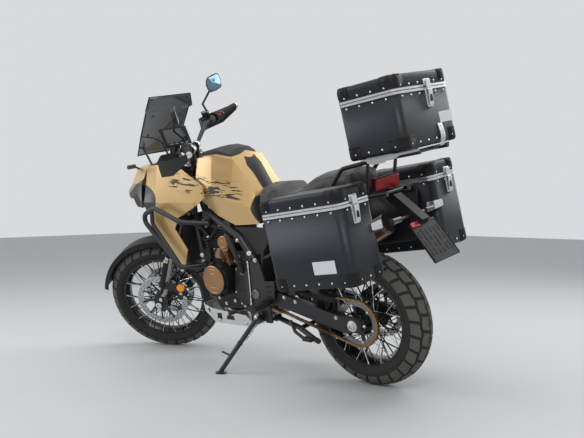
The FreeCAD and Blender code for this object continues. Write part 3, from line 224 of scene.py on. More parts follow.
def linked(shader_node, **inputs):
    for key, value in inputs.items():
        value.tree.links.new(value.socket, shader_node.inputs[key.replace("_", " ")])


def noise(place, scale, detail=3.0, rough=0.55):
    """Cloudy grain, about nought to one, with a number of grains to the metre."""
    return place.node("TexNoise", s0=place, Scale=scale, Detail=detail, Roughness=rough)


def bumped(place, height, depth):
    """A normal that leans as if the surface rose by depth metres where height is one."""
    return place.node("Bump", Height=height, Strength=1.0, Distance=depth)


def surface(name, dark, light, rough, grain, depth, metal=0.0, coat=0.0, spread=0.06,
            sheen=0.0, specular=0.5):
    """A finish with two close colours in a cloudy mix, uneven gloss and a fine grain."""
    made, shader_node, place = material(name, Metallic=metal, Coat_Weight=coat,
                                        Coat_Roughness=0.12, Sheen_Weight=sheen,
                                        Specular_IOR_Level=specular)
    cloud = noise(place, 9.0)
    fine = noise(place, grain, 2.0)
    linked(shader_node, Base_Color=(cloud * 0.7 + fine * 0.3).colours(dark, light),
           Roughness=fine * spread + cloud * spread + (rough - spread),
           Normal=bumped(place, fine, depth))
    return made


# The studio: a plain pale floor that runs to a pale backdrop, lit softly by one wide lamp
# above and one on each side. Eye and mirrors see the backdrop a little brighter.

floor_colour, floor_reach = (0.66, 0.67, 0.68), 14.0

floor_mesh = bpy.data.meshes.new("studio_floor")
floor_mesh.from_pydata([(-floor_reach, -floor_reach, 0), (floor_reach, -floor_reach, 0),
                        (floor_reach, floor_reach, 0), (-floor_reach, floor_reach, 0)], [],
                       [(0, 1, 2, 3)])
studio_floor = bpy.data.objects.new("studio_floor", floor_mesh)
scene.collection.objects.link(studio_floor)
floor_paint, floor_shader, floor_place = material("floor_paint", Roughness=0.55)
linked(floor_shader, Base_Color=noise(floor_place, 3.0).colours(floor_colour,
                                                               (0.63, 0.64, 0.65)))
floor_mesh.materials.append(floor_paint)
studio_floor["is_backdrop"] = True

world = bpy.data.worlds.new("studio")
world.use_nodes = True
scene.world = world
sky = Value(world.node_tree, world.node_tree.nodes.new("ShaderNodeLightPath").outputs[0])
sky_rays = sky.socket.node.outputs
seen = sky.most(Value(world.node_tree, sky_rays["Is Glossy Ray"])).most(
    Value(world.node_tree, sky_rays["Is Transmission Ray"]))
background = world.node_tree.nodes["Background"]
linked(background, Strength=seen * 0.34 + 0.46)
background.inputs["Color"].default_value = (0.86, 0.88, 0.90, 1)

for name, place, size, power, tint in (
        ("key_lamp", (-3.2, 3.4, 4.2), 2.6, 88, (1.0, 0.98, 0.95)),
        ("side_lamp", (3.4, 2.6, 2.6), 2.2, 52, (0.95, 0.97, 1.0)),
        ("back_lamp", (-1.2, -3.8, 3.4), 2.6, 62, (1.0, 1.0, 1.0)),
        ("top_lamp", (0.2, 0.2, 4.6), 3.2, 64, (1.0, 1.0, 1.0))):
    lamp = bpy.data.objects.new(name, bpy.data.lights.new(name, "AREA"))
    scene.collection.objects.link(lamp)
    lamp.data.size, lamp.data.energy, lamp.data.color = size, power, tint
    lamp.location = place
    aim = -np.array(place) + (0, 0, 0.6)
    lamp.rotation_euler = (math.atan2(math.hypot(aim[0], aim[1]), -aim[2]), 0,
                           math.atan2(-aim[0], aim[1]))

scene.view_settings.view_transform = "Standard"

# Luggage cases. Each is a box of black coated sheet with round upright corners, closed by
# a hinged lid: a silver edge profile on both halves, moulded corner caps, domed rivets, a
# draw latch on the rear face and a blank pale name plate.

case_tilt = math.radians(6.7)
case_corner, case_wall, lid_rise, lid_gap, band = 34.0, 2.5, 68.0, 1.0, 11.0
CASES = (  # box node, lid node, centre of the split plane, half length, half width, height
    ("left_case", "left_lid", (-33, 342, 904), 222.5, 107.5, 327),
    ("right_case", "right_lid", (-33, -342, 904), 222.5, 107.5, 327),
    ("top_case", "top_lid", (-254, 0, 1325), 149.5, 203.0, 237),
)


def web(points, round_rows=False, round_columns=False, capped=False):
    """Quads over a grid of points; the last row or column joins the first where asked."""
    rows, columns = points.shape[:2]
    index = np.arange(rows * columns).reshape(rows, columns)
    if round_rows:
        index = np.concatenate([index, index[:1]])
    if round_columns:
        index = np.concatenate([index, index[:, :1]], axis=1)
    quads = np.stack([index[:-1, :-1], index[1:, :-1], index[1:, 1:], index[:-1, 1:]], -1)
    faces = quads.reshape(-1, 4).tolist()
    if capped:
        faces += [index[0, :columns][::-1].tolist(), index[rows - 1, :columns].tolist()]
    return points.reshape(-1, 3), faces


def joined(shapes):
    """Several shapes in one list of points and faces."""
    points, faces, start = [], [], 0
    for some_points, some_faces in shapes:
        points.append(some_points)
        faces += [[index + start for index in face] for face in some_faces]
        start += len(some_points)
    return np.concatenate(points), faces


def lathed(profile, steps=24):
    """Rings about the Z axis: each (height, radius) of the profile swung right round."""
    height, radius = np.asarray(profile, float).T
    angle = np.linspace(0, 2 * math.pi, steps, endpoint=False)
    points = np.stack([np.outer(radius, np.cos(angle)), np.outer(radius, np.sin(angle)),
                       np.repeat(height[:, None], steps, 1)], -1)
    return web(points, round_columns=True, capped=True)


def swept(path, section, closed=False, roll=None):
    """A section carried along a path, kept upright to the path's own turning frame."""
    path, section = np.asarray(path, float), np.asarray(section, float)
    ahead = np.roll(path, -1, 0) - np.roll(path, 1, 0) if closed else np.gradient(path, axis=0)
    ahead /= np.linalg.norm(ahead, axis=1)[:, None]
    side = np.empty_like(ahead)
    near = np.array(roll if roll is not None else (0.0, 0.0, 1.0))
    if abs(np.dot(near, ahead[0])) > 0.95:
        near = np.array((0.0, 1.0, 0.0))
    side[0] = unit(near - ahead[0] * np.dot(near, ahead[0]))
    for step in range(1, len(path)):
        side[step] = unit(side[step - 1] - ahead[step] * np.dot(side[step - 1], ahead[step]))
    across_path = np.cross(ahead, side)
    points = (path[:, None] + section[None, :, :1] * across_path[:, None]
              + section[None, :, 1:] * side[:, None])
    return web(points, round_rows=closed, round_columns=True, capped=not closed)


def ring(radius, steps=12, flat=1.0):
    """A round section, or an oval one where flat is under one."""
    angle = np.linspace(0, 2 * math.pi, steps, endpoint=False)
    return np.stack([radius * np.cos(angle), radius * flat * np.sin(angle)], -1)


def curved(points, steps=8):
    """A smooth path through given points: the Catmull-Rom cubic between each pair."""
    points = np.asarray(points, float)
    padded = np.concatenate([[2 * points[0] - points[1]], points, [2 * points[-1] - points[-2]]])
    t = np.linspace(0, 1, steps, endpoint=False)[:, None]
    runs = [0.5 * (2 * b + (c - a) * t + (2 * a - 5 * b + 4 * c - d) * t ** 2
                   + (3 * b - 3 * c + d - a) * t ** 3)
            for a, b, c, d in zip(padded, padded[1:], padded[2:], padded[3:])]
    return np.concatenate(runs + [points[-1:]])


def extruded(outline, low, high, across_axis=1):
    """A plate: an outline in two axes, between two distances along the third."""
    outline = np.asarray(outline, float)
    rows = []
    for level in (low, high):
        rows.append(np.insert(outline, across_axis, level, axis=1))
    return web(np.stack(rows), round_columns=True, capped=True)


def softened(outline, bend, steps=5):
    """An outline whose corners are rounded: a quadratic arc that starts bend before each."""
    outline = np.asarray(outline, float)
    back, ahead = np.roll(outline, 1, 0) - outline, np.roll(outline, -1, 0) - outline
    lengths = np.linalg.norm(back, axis=1), np.linalg.norm(ahead, axis=1)
    reach = np.minimum(bend, 0.45 * np.minimum(*lengths))[:, None]
    start, end = outline + back / lengths[0][:, None] * reach, (
        outline + ahead / lengths[1][:, None] * reach)
    t = np.linspace(0, 1, steps)[None, :, None]
    arcs = (start[:, None] * (1 - t) ** 2 + 2 * outline[:, None] * t * (1 - t)
            + end[:, None] * t ** 2)
    return arcs.reshape(-1, outline.shape[1])


def copies(shape, places, outs, ups=None):
    """The shape at each place, its Z turned to that place's outward direction."""
    points, faces = shape
    out = np.asarray(outs, float)
    out = out / np.linalg.norm(out, axis=1)[:, None]
    up = np.tile((0.0, 0.0, 1.0), (len(out), 1)) if ups is None else np.asarray(ups, float)
    flat = np.abs((up * out).sum(1)) > 0.9
    up[flat] = (1.0, 0.0, 0.0)
    first = np.cross(up, out)
    first /= np.linalg.norm(first, axis=1)[:, None]
    second = np.cross(out, first)
    turned = (points[None, :, :1] * first[:, None] + points[None, :, 1:2] * second[:, None]
              + points[None, :, 2:] * out[:, None]) + np.asarray(places, float)[:, None]
    count = len(points)
    many = [[index + count * copy for index in face]
            for copy in range(len(out)) for face in faces]
    return turned.reshape(-1, 3), many


def put(name, shape, lay, body, finish, crease=38, stands_for=(), bevel=0.0,
        wall=0.0, smooth=0):
    """Makes a finished piece of a shape, laid down by a stance and riding on a body."""
    points, faces = shape
    mesh = bpy.data.meshes.new(name)
    mesh.from_pydata((lay(points) if lay else points).tolist(), [], faces)
    work = bmesh.new()
    work.from_mesh(mesh)
    bmesh.ops.remove_doubles(work, verts=work.verts, dist=0.00002)
    bmesh.ops.recalc_face_normals(work, faces=work.faces)
    work.to_mesh(mesh)
    work.free()
    mesh.polygons.foreach_set("use_smooth", [True] * len(mesh.polygons))
    mesh.set_sharp_from_angle(angle=math.radians(crease))
    piece = bpy.data.objects.new(name, mesh)
    scene.collection.objects.link(piece)
    mesh.materials.append(finish)
    if wall:
        sheet = piece.modifiers.new("wall", "SOLIDIFY")
        sheet.thickness, sheet.offset = wall / 1000, -1
    if bevel:
        edge = piece.modifiers.new("edge", "BEVEL")
        edge.width, edge.segments, edge.limit_method = bevel / 1000, 2, "ANGLE"
        edge.angle_limit = math.radians(40)
        edge.harden_normals = False
    if smooth:
        rounder = piece.modifiers.new("round", "SUBSURF")
        rounder.levels = rounder.render_levels = smooth
    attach(piece, body)
    if stands_for:
        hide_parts(*stands_for)
    return piece


def case_finish():
    """Black anodised sheet: a faint vertical grain, a fine orange peel and a soft gloss."""
    made, shader_node, place = material("case_black_sheet", Metallic=0.45, Coat_Weight=0.12,
                                        Specular_IOR_Level=0.3,
                                        Coat_Roughness=0.3)
    x, y, z = place.parts()
    streak = place.node("VectorMath", {"operation": "MULTIPLY"}, s0=place,
                        s1=(1.0, 1.0, 0.06))
    grain = noise(streak, 320.0, 2.0)
    peel = noise(place, 1100.0, 1.0)
    cloud = noise(place, 5.0)
    linked(shader_node, Base_Color=(grain * 0.5 + cloud * 0.5).colours(
        (0.016, 0.018, 0.023), (0.032, 0.035, 0.043)),
        Roughness=grain * 0.10 + cloud * 0.08 + 0.33, Normal=bumped(place, peel, 0.00006))
    return made


case_sheet = case_finish()
black_moulding = surface("black_moulding", (0.008, 0.008, 0.009), (0.018, 0.018, 0.019), 0.46,
                         900.0, 0.00008, specular=0.22)
satin_silver = surface("satin_silver", (0.62, 0.63, 0.64), (0.74, 0.75, 0.76), 0.32, 1400.0,
                       0.00002, metal=0.92)
bright_steel = surface("bright_steel", (0.66, 0.66, 0.67), (0.78, 0.78, 0.78), 0.20, 900.0,
                       0.00002, metal=1.0)
pale_plate = surface("pale_plate", (0.72, 0.73, 0.75), (0.80, 0.81, 0.83), 0.38, 300.0,
                     0.00001, metal=0.2)
# dark_shadow is painted shadow: a near-black finish for the openings, slots and holes, where only
# shade shows.
dark_shadow = surface("painted_shadow_recess", (0.006, 0.006, 0.006), (0.012, 0.012, 0.012), 0.7, 200.0,
                      0.00002)


def case_outline(half_x, half_y, inset, steps=9, corners=(0, 1, 2, 3), reach=0.0):
    """Points round a rectangle: an arc at each corner, as far in as inset; where reach is
    set, each arc also runs on that far along its two sides."""
    radius = max(case_corner - inset, 0.8)
    swing = np.linspace(0, math.pi / 2, steps)
    points = []
    for corner in corners:
        angle = swing + corner * math.pi / 2
        sign = (np.cos(corner * math.pi / 2 + math.pi / 4),
                np.sin(corner * math.pi / 2 + math.pi / 4))
        middle = (np.sign(sign[0]) * (half_x - inset - radius),
                  np.sign(sign[1]) * (half_y - inset - radius))
        arc = np.stack([middle[0] + radius * np.cos(angle),
                        middle[1] + radius * np.sin(angle)], -1)
        if reach:
            first, last = angle[0], angle[-1]
            arc = np.concatenate([[arc[0] + (math.sin(first) * reach, -math.cos(first) * reach)],
                                  arc,
                                  [arc[-1] + (-math.sin(last) * reach,
                                              math.cos(last) * reach)]])
        points.append(arc)
    return np.concatenate(points)


def case_rows(half_x, half_y, rows, **how):
    """Outlines stacked up: one for each (height, inset) of the rows."""
    stacked = []
    for height, inset in rows:
        flat = case_outline(half_x, half_y, inset, **how)
        stacked.append(np.concatenate([flat, np.full((len(flat), 1), height)], axis=1))
    return np.stack(stacked)


def side_spots(half_x, half_y, height, along_x, along_y, margin=48):
    """Places and outward directions of a row of rivets on all four sides of a case."""
    places, outs = [], []
    for sign in (1, -1):
        for x in np.linspace(margin - half_x, half_x - margin, along_x):
            places.append((x, sign * half_y, height))
            outs.append((0, sign, 0))
        for y in np.linspace(margin - half_y, half_y - margin, along_y):
            places.append((sign * half_x, y, height))
            outs.append((sign, 0, 0))
    return places, outs


rivet = lathed([(-0.5, 5.0), (0.6, 5.0), (1.9, 4.0), (2.7, 2.3), (3.0, 0.4)], 10)


def latch_shapes(x):
    """A draw latch on the rear face: a hook plate on the lid, a lever with a slot below."""
    hook = extruded(softened([(-24, 6), (24, 6), (24, 34), (-24, 34)], 5), x - 7, x + 1, 0)
    nose = extruded(softened([(-15, -6), (15, -6), (15, 30), (-15, 30)], 5), x - 15, x - 7, 0)
    base = extruded(softened([(-20, -84), (20, -84), (20, -8), (-20, -8)], 6), x - 5, x + 1, 0)
    lever_side = softened([(x - 19, -8), (x - 5, -8), (x - 4, -76), (x - 12, -80)], 4)
    lever = extruded(np.asarray(lever_side)[:, :], -15, 15, 1)
    # The lever's slot is a thin dark plate of painted shadow.
    slot = extruded(softened([(-5, -62), (5, -62), (5, -34), (-5, -34)], 5), x - 18.5, x - 14, 0)
    return [hook, nose], [base, lever], [slot]


for box_node, lid_node, centre, half_x, half_y, height in CASES:
    side_case = box_node != "top_case"
    outward = 1 if box_node == "left_case" else -1

    def laid(points, middle=np.array(centre, float)):
        """Tilts the case's own frame, nose down, and sets it on its carrier."""
        x, y, z = np.asarray(points, float).T
        return chassis(np.stack([x * math.cos(case_tilt) + z * math.sin(case_tilt), y,
                                 -x * math.sin(case_tilt) + z * math.cos(case_tilt)], -1)
                       + middle)

    top = lid_gap + lid_rise
    body_rows = [(0, 0), (-height + 16, 0), (-height + 9, 0.8), (-height + 3.5, 3.4),
                 (-height + 0.8, 7.6), (-height, 13)]
    shell = case_rows(half_x, half_y, body_rows)
    shell_web = web(shell, round_columns=True)
    floor_face = [list(range((len(body_rows) - 1) * shell.shape[1], shell.shape[0] * shell.shape[1]))]
    put(box_node + "_shell", (shell_web[0], shell_web[1] + floor_face), laid, "chassis",
        case_sheet, wall=case_wall, stands_for=(box_node,))
    lid_rows = [(lid_gap, 0), (top - 20, 0), (top - 12, 1.2), (top - 5, 4.6), (top - 1.2, 10),
                (top, 17)]
    shell = case_rows(half_x, half_y, lid_rows)
    shell_web = web(shell, round_columns=True)
    roof = [list(range((len(lid_rows) - 1) * shell.shape[1], shell.shape[0] * shell.shape[1]))]
    put(lid_node + "_shell", (shell_web[0], shell_web[1] + roof), laid, lid_node, case_sheet,
        wall=case_wall, stands_for=(lid_node,))

    for part_name, body, rows in (
            (box_node, "chassis", [(-band, 0.2), (-band, -1.6), (-1.5, -1.8), (-0.6, -0.8),
                                   (-0.6, 0.2)]),
            (lid_node, lid_node, [(1.6, 0.2), (1.6, -0.8), (2.4, -1.8), (band, -1.6),
                                  (band, 0.2)])):
        put(part_name + "_edge", web(case_rows(half_x, half_y, rows), round_columns=True), laid,
            body, satin_silver)

    caps = [(top - 46, -0.4), (top - 45, -2.2), (top - 20, -2.2), (top - 11, -1.0),
            (top - 4, 3.0), (top + 0.2, 9.5), (top + 1.6, 19), (top + 1.6, 30), (top - 0.5, 31)]
    boots = [(-height + 56, -0.4), (-height + 55, -2.2), (-height + 47, -2.2), (-height + 46, -1.2),
             (-height + 43, -1.2), (-height + 42, -2.2), (-height + 15, -2.2),
             (-height + 8, -1.2), (-height + 2.2, 2.2), (-height - 1.6, 7.4),
             (-height - 2.4, 16), (-height - 2.4, 28), (-height + 0.5, 29)]
    for part_name, body, rows, reach in ((lid_node, lid_node, caps, 34.0),
                                         (box_node, "chassis", boots, 40.0)):
        parts = [web(case_rows(half_x, half_y, rows, corners=(corner,), reach=reach))
                 for corner in range(4)]
        put(part_name + "_corners", joined(parts), laid, body, black_moulding,
            wall=2.0)

    # Strap slots in the lid's corner caps: openings along the rounded top edge, drawn as dark rods of
    # painted shadow.
    slots = []
    for sx in (1, -1):
        for sy in (1, -1):
            x, y = sx * (half_x - 40), sy * (half_y - 9)
            slots.append(swept(np.array([(x - 16, y, top - 7), (x + 16, y, top - 7)], float),
                               ring(8.4, 12)))
            x, y = sx * (half_x - 9), sy * (half_y - 40)
            slots.append(swept(np.array([(x, y - 16, top - 7), (x, y + 16, top - 7)], float),
                               ring(8.4, 12)))
    put(lid_node + "_strap_slots", joined(slots), laid, lid_node, dark_shadow)

    across_count, along_count = (6, 3) if side_case else (4, 6)
    low_rivets = []
    for level in (-band - 11, -height + 22):
        places, outs = side_spots(half_x, half_y, level, across_count, along_count)
        low_rivets.append(copies(rivet, places, outs))
    put(box_node + "_rivets", joined(low_rivets), laid, "chassis", bright_steel)
    places, outs = side_spots(half_x, half_y, band + 12, across_count, along_count)
    put(lid_node + "_rivets", copies(rivet, places, outs), laid, lid_node, bright_steel)

    lid_latch, box_latch, latch_slot = latch_shapes(-half_x)
    shift = np.array((0, outward * 18 if side_case else -28, 0))
    put(lid_node + "_latch", (joined(lid_latch)[0] + shift, joined(lid_latch)[1]), laid,
        lid_node, satin_silver, bevel=1.4)
    put(box_node + "_latch", (joined(box_latch)[0] + shift, joined(box_latch)[1]), laid,
        "chassis", satin_silver, bevel=1.4)
    put(box_node + "_latch_slot", (latch_slot[0][0] + shift, latch_slot[0][1]), laid,
        "chassis", dark_shadow)

    # The blank name plate: a thin rounded rectangle with a fine raised rim.
    if side_case:
        plate_flat = softened([(-142, -height + 62), (-22, -height + 62), (-22, -height + 116),
                               (-142, -height + 116)], 3)
        plate = extruded(plate_flat, outward * half_y - 0.4 * outward, outward * (half_y + 1.0), 1)
    else:
        plate_flat = softened([(-182, -156), (-82, -156), (-82, -110), (-182, -110)], 3)
        plate = extruded(plate_flat, -half_x - 1.0, -half_x + 0.4, 0)
    put(box_node + "_name_plate", plate, laid, "chassis", pale_plate, bevel=0.3)

    # The silver clamps: a hook strap round the inner rear edge of a side case, and a bent
    # lever that grips the carrier plate under the top case. Each has a screw and a stud.
    if side_case:
        inner = -outward * half_y
        strap = extruded(softened([(inner - outward * 30, -138), (inner + outward * 44, -134),
                                   (inner + outward * 44, -104), (inner - outward * 30, -100)],
                                  6, 4), -half_x - 6.0, -half_x - 0.6, 0)
        hook = extruded(softened([(-half_x - 6, inner - outward * 30),
                                  (-half_x + 34, inner - outward * 30),
                                  (-half_x + 34, inner - outward * 24),
                                  (-half_x - 6, inner - outward * 24)], 2, 3), -136, -102, 2)
        studs = copies(rivet, [(-half_x - 5.6, inner + outward * 30, -119),
                               (-half_x - 5.6, inner - outward * 16, -119)],
                       [(-1, 0, 0)] * 2)
        clamp_parts = [strap, hook, studs]
    else:
        grip = [(-half_x - 0.5, -158), (-half_x - 3, -156), (-half_x - 9, -190),
                (-half_x - 10, -214), (-half_x + 4, -height - 14), (-half_x + 42, -height - 13),
                (-half_x + 42, -height - 9), (-half_x + 8, -height - 9), (-half_x - 4, -212),
                (-half_x - 0.5, -190)]
        lever = extruded(softened(grip, 5, 3), -88, -54)
        clamp_parts = [lever, copies(rivet, [(-half_x - 5, -71, -168), (-half_x - 9.6, -71, -204)],
                                     [(-1, 0, 0)] * 2)]
    put(box_node + "_clamp", joined(clamp_parts), laid, "chassis", satin_silver,
        bevel=0.6)
# Finishes of the solid nodes. Each CAD node keeps its shape and gets the finish of its
# real material: paint, powder coat, cast alloy, plastic, glass or rubber.

graphic_dark = (0.020, 0.019, 0.018)


satin_black = surface("satin_black_frame", (0.012, 0.012, 0.013), (0.026, 0.026, 0.028), 0.36,
                      700.0, 0.00004, metal=0.1, coat=0.12)
cast_black = surface("cast_black", (0.011, 0.011, 0.012), (0.030, 0.030, 0.032), 0.46, 520.0,
                     0.00016, metal=0.55)
bronze_cast = surface("bronze_cast", (0.30, 0.155, 0.075), (0.46, 0.265, 0.14), 0.34, 640.0,
                      0.00005, metal=0.85)
charcoal = surface("charcoal_plastic", (0.018, 0.017, 0.017), (0.034, 0.032, 0.032), 0.48,
                   1000.0, 0.00009, specular=0.35)
core_black = surface("radiator_black", (0.010, 0.010, 0.011), (0.030, 0.030, 0.032), 0.6,
                     160.0, 0.0004, metal=0.3)
pipe_steel = surface("pipe_steel", (0.34, 0.30, 0.25), (0.52, 0.48, 0.43), 0.30, 120.0,
                     0.00003, metal=1.0)
can_steel = surface("can_steel", (0.10, 0.10, 0.10), (0.19, 0.19, 0.185), 0.36, 260.0,
                    0.00003, metal=0.9)
disc_steel = surface("disc_steel", (0.42, 0.42, 0.42), (0.62, 0.62, 0.62), 0.27, 380.0,
                     0.00002, metal=1.0)
chain_gold = surface("chain_gold", (0.22, 0.135, 0.055), (0.42, 0.29, 0.14), 0.34, 500.0,
                     0.00003, metal=0.95)
rim_black = surface("rim_black", (0.010, 0.010, 0.011), (0.022, 0.022, 0.024), 0.24, 420.0,
                    0.00002, metal=0.3, coat=0.3)
soft_rubber = surface("black_rubber", (0.012, 0.012, 0.012), (0.028, 0.027, 0.026), 0.68,
                      700.0, 0.00012)
grey_alloy = surface("grey_alloy", (0.16, 0.16, 0.165), (0.26, 0.26, 0.27), 0.38, 620.0,
                     0.00006, metal=0.85)


def smoked_finish(name, colour, alpha, rough=0.05):
    """A tinted clear moulding: see-through by its alpha, glossy on its face."""
    made, shader_node, place = material(name, Base_Color=colour, Alpha=alpha,
                                        Coat_Weight=0.6, Coat_Roughness=0.03)
    linked(shader_node, Roughness=noise(place, 14.0) * 0.05 + rough)
    return made


smoked_screen = smoked_finish("smoked_screen", (0.012, 0.013, 0.016), 0.78)
lamp_glass = smoked_finish("lamp_glass", (0.55, 0.60, 0.66), 0.55)
amber_lens = smoked_finish("smoked_turn_lens", (0.040, 0.036, 0.034), 0.97, 0.34)


def lens_finish(name, dark, light, painted_glow, rib):
    """A ribbed lens: fine upright prisms, with painted highlights on them and painted shade between,
    and a slight painted glow.
    """
    made, shader_node, place = material(name, Coat_Weight=0.15, Coat_Roughness=0.04,
                                        Roughness=0.22, Emission_Strength=painted_glow,
                                        Specular_IOR_Level=0.3)
    x, y, z = place.parts()
    prism_light_and_shade = (y + z * 0.15).wrapped(rib) / (rib / 2)
    linked(shader_node, Base_Color=prism_light_and_shade.colours(dark, light),
           Emission_Color=prism_light_and_shade.colours(dark, light), Normal=bumped(place, prism_light_and_shade, 0.0006))
    return made


# Both lenses carry a painted glow (0.10 and 0.30) and stripes of painted highlight and shade.
red_lens = lens_finish("red_lens", (0.13, 0.001, 0.002), (0.50, 0.006, 0.010), 0.10, 0.014)
orange_lens = lens_finish("orange_lens", (0.75, 0.20, 0.01), (1.0, 0.36, 0.03), 0.30, 0.004)
display_black = smoked_finish("display_glass", (0.010, 0.011, 0.013), 1.0, 0.06)
mirror_glass = surface("mirror_glass", (0.10, 0.16, 0.22), (0.20, 0.30, 0.38), 0.04, 50.0,
                       0.000001, metal=1.0)

for finish, names in (
        (satin_black, ("main_frame", "subframe", "engine_guard", "pannier_racks",
                       "luggage_rack", "swingarm", "rear_shock", "side_stand",
                       "centre_stand", "handlebar", "fork", "rear_caliper",
                       "front_calipers")),
        (cast_black, ("engine_block",)), (bronze_cast, ("engine_covers",)),
        (core_black, ("radiator",)), (pipe_steel, ("exhaust_pipe",)),
        (can_steel, ("silencer",)), (satin_silver, ("bash_plate", "rack_plate")),
        (charcoal, ("handguards",)),
        (black_moulding, ("front_mudguard", "plate_holder", "mirrors")),
        (charcoal, ("headlamp",)), (smoked_screen, ("windscreen",)),
        (display_black, ("instrument_panel",)), (red_lens, ("tail_lamp",)),
        (amber_lens, ("indicators",)), (soft_rubber, ("footpegs", "front_tyre", "rear_tyre")),
        (charcoal, ("rider_seat", "passenger_seat")),
        (disc_steel, ("front_discs", "rear_disc", "rear_sprocket")),
        (chain_gold, ("chain",)), (rim_black, ("front_wheel", "rear_wheel"))):
    for name in names:
        nodes[name].data.materials.clear()
        nodes[name].data.materials.append(finish)

# Tyres. Tubeless block-tread covers: a round crown cut into staggered blocks by chevron
# grooves, plain sidewalls with two fine ribs, worn pale by dust on the tread faces only.

WHEELS = (  # name, body, tyre node, hub x, radius, crown radius, bead radius, rim half width
    ("front", "front_wheel", "front_tyre", wheelbase, front_radius, 56.0, 243.0, 36.0),
    ("rear", "rear_wheel", "rear_tyre", 0.0, rear_radius, 74.5, 218.0, 60.0),
)
tread_repeats, tread_depth = {"front": 30, "rear": 26}, {"front": 5.5, "rear": 7.0}


def tread_height(around, side, repeats):
    """One on a block and nought in a groove. The grooves are a zigzag along the middle, one
    along each side, and slanted cuts between them that are half a step apart."""
    step = around * repeats
    saw = np.abs((step % 1) - 0.5) * 2
    lean_cut = step + 0.42 * np.abs(side) + np.where(side > 0, 0.5, 0.0)
    cut = np.abs((lean_cut + 0.5) % 1 - 0.5)
    outer_cut = np.abs((lean_cut + 0.28) % 1 - 0.5)
    inner = np.abs(side) < 0.42 + 0.06 * saw
    middle = np.abs(side - 0.07 * (saw - 0.5)) / 0.045
    flank = np.abs(np.abs(side) - (0.42 + 0.06 * saw)) / 0.040
    across_cut = np.where(inner, cut, np.abs((lean_cut + 0.5 + 0.5) % 1 - 0.5)) / 0.085
    ends = np.abs(side) > 0.93
    nearest = np.minimum(np.minimum(middle, flank), across_cut)
    raised = np.clip((nearest - 0.75) / 0.5, 0, 1)
    return np.where(ends, 0.0, raised)


def tyre_finish():
    """Rubber: near black and satin on the walls, dusty grey-green on the worn block faces,
    which the radius from the hub and the tread attribute pick out."""
    made, shader_node, place = material("tyre_rubber")
    worn = place.node("Attribute", {"attribute_name": "worn"}, out=2)
    cloud, fine = noise(place, 22.0), noise(place, 380.0, 2.0)
    dust = worn * (cloud * 0.5 + 0.55)
    linked(shader_node, Base_Color=dust.colours((0.016, 0.016, 0.016), (0.125, 0.125, 0.105)),
           Roughness=cloud * 0.12 + 0.66, Normal=bumped(place, fine, 0.00012))
    return made


tyre_rubber = tyre_finish()


def tyre(hub_x, radius, crown, bead, rim_half, repeats, depth):
    """Sections about the hub: the crown is an arc whose radius drops by the groove depth,
    and each wall is a curve from the shoulder down to the bead."""
    swing = np.linspace(-1.42, 1.42, 57)
    side = swing / 1.42
    crown_y, crown_r = crown * np.sin(swing), radius - crown + crown * np.cos(swing)
    down = np.linspace(0, 1, 11)[1:]
    wall_y = crown * np.sin(1.42) * (1 - down) ** 2 + 2 * crown * 1.02 * down * (1 - down) + (
        rim_half * 0.97 * down ** 2)
    wall_r = (radius - crown + crown * math.cos(1.42)) * (1 - down) + bead * down
    rib = 0.8 * np.exp(-((down - 0.45) / 0.05) ** 2) + 0.8 * np.exp(-((down - 0.8) / 0.05) ** 2)
    y = np.concatenate([-(wall_y + rib)[::-1], crown_y, wall_y + rib])
    r = np.concatenate([wall_r[::-1], crown_r, wall_r])
    around = np.linspace(0, 1, repeats * 24, endpoint=False)
    height = tread_height(around[:, None], side[None], repeats)
    shoulder = np.clip((1 - np.abs(side)) / 0.1, 0, 1)
    drop = np.zeros((len(around), len(y)))
    drop[:, 10:-10] = (1 - height) * depth * shoulder
    y_grid = y - drop * np.concatenate([np.zeros(10), np.sin(swing), np.zeros(10)])
    r_grid = r - drop * np.concatenate([np.zeros(10), np.cos(swing), np.zeros(10)])
    turn = around[:, None] * 2 * math.pi
    points = np.stack([hub_x + r_grid * np.cos(turn), y_grid, radius + r_grid * np.sin(turn)], -1)
    worn = np.zeros_like(drop)
    worn[:, 10:-10] = np.clip(1 - drop[:, 10:-10] / 1.5, 0, 1) * (np.abs(side) < 0.93)
    return web(points, round_rows=True), worn.ravel()


for name, body, node, hub_x, radius, crown, bead, rim_half in WHEELS:
    lay = steered if name == "front" else chassis
    shape, worn = tyre(hub_x, radius, crown, bead, rim_half, tread_repeats[name],
                       tread_depth[name])
    piece = put(name + "_tyre_cover", shape, lay, body, tyre_rubber, crease=24,
                stands_for=(node,))
    mark = piece.data.attributes.new("worn", "FLOAT", "POINT")
    mark.data.foreach_set("value", worn.astype(np.float32))

# Wheels. Black drop-centre rims, laced from their outer edges to the hub's two flanges
# with bright crossed spokes; each spoke ends in a nipple on the rim's lip.

spoke_count, spoke_swing = 36, math.radians(31)
HUBS = {"front": (28.0, 46.0, 46.0), "rear": (40.0, 56.0, 64.0)}  # barrel, half, flange radius


def on_wheel(hub_x, radius, angle, out, y):
    """Points at an angle round the hub, out from it, and y across."""
    return np.stack([hub_x + out * np.cos(angle), np.broadcast_to(y, np.shape(angle)),
                     radius + out * np.sin(angle)], -1)


def about_hub(shape, hub_x, radius):
    """Turns a shape lathed about Z so that it runs across the machine, on the hub."""
    points, faces = shape
    x, y, z = points.T
    return np.stack([x + hub_x, z, y + radius], -1), faces


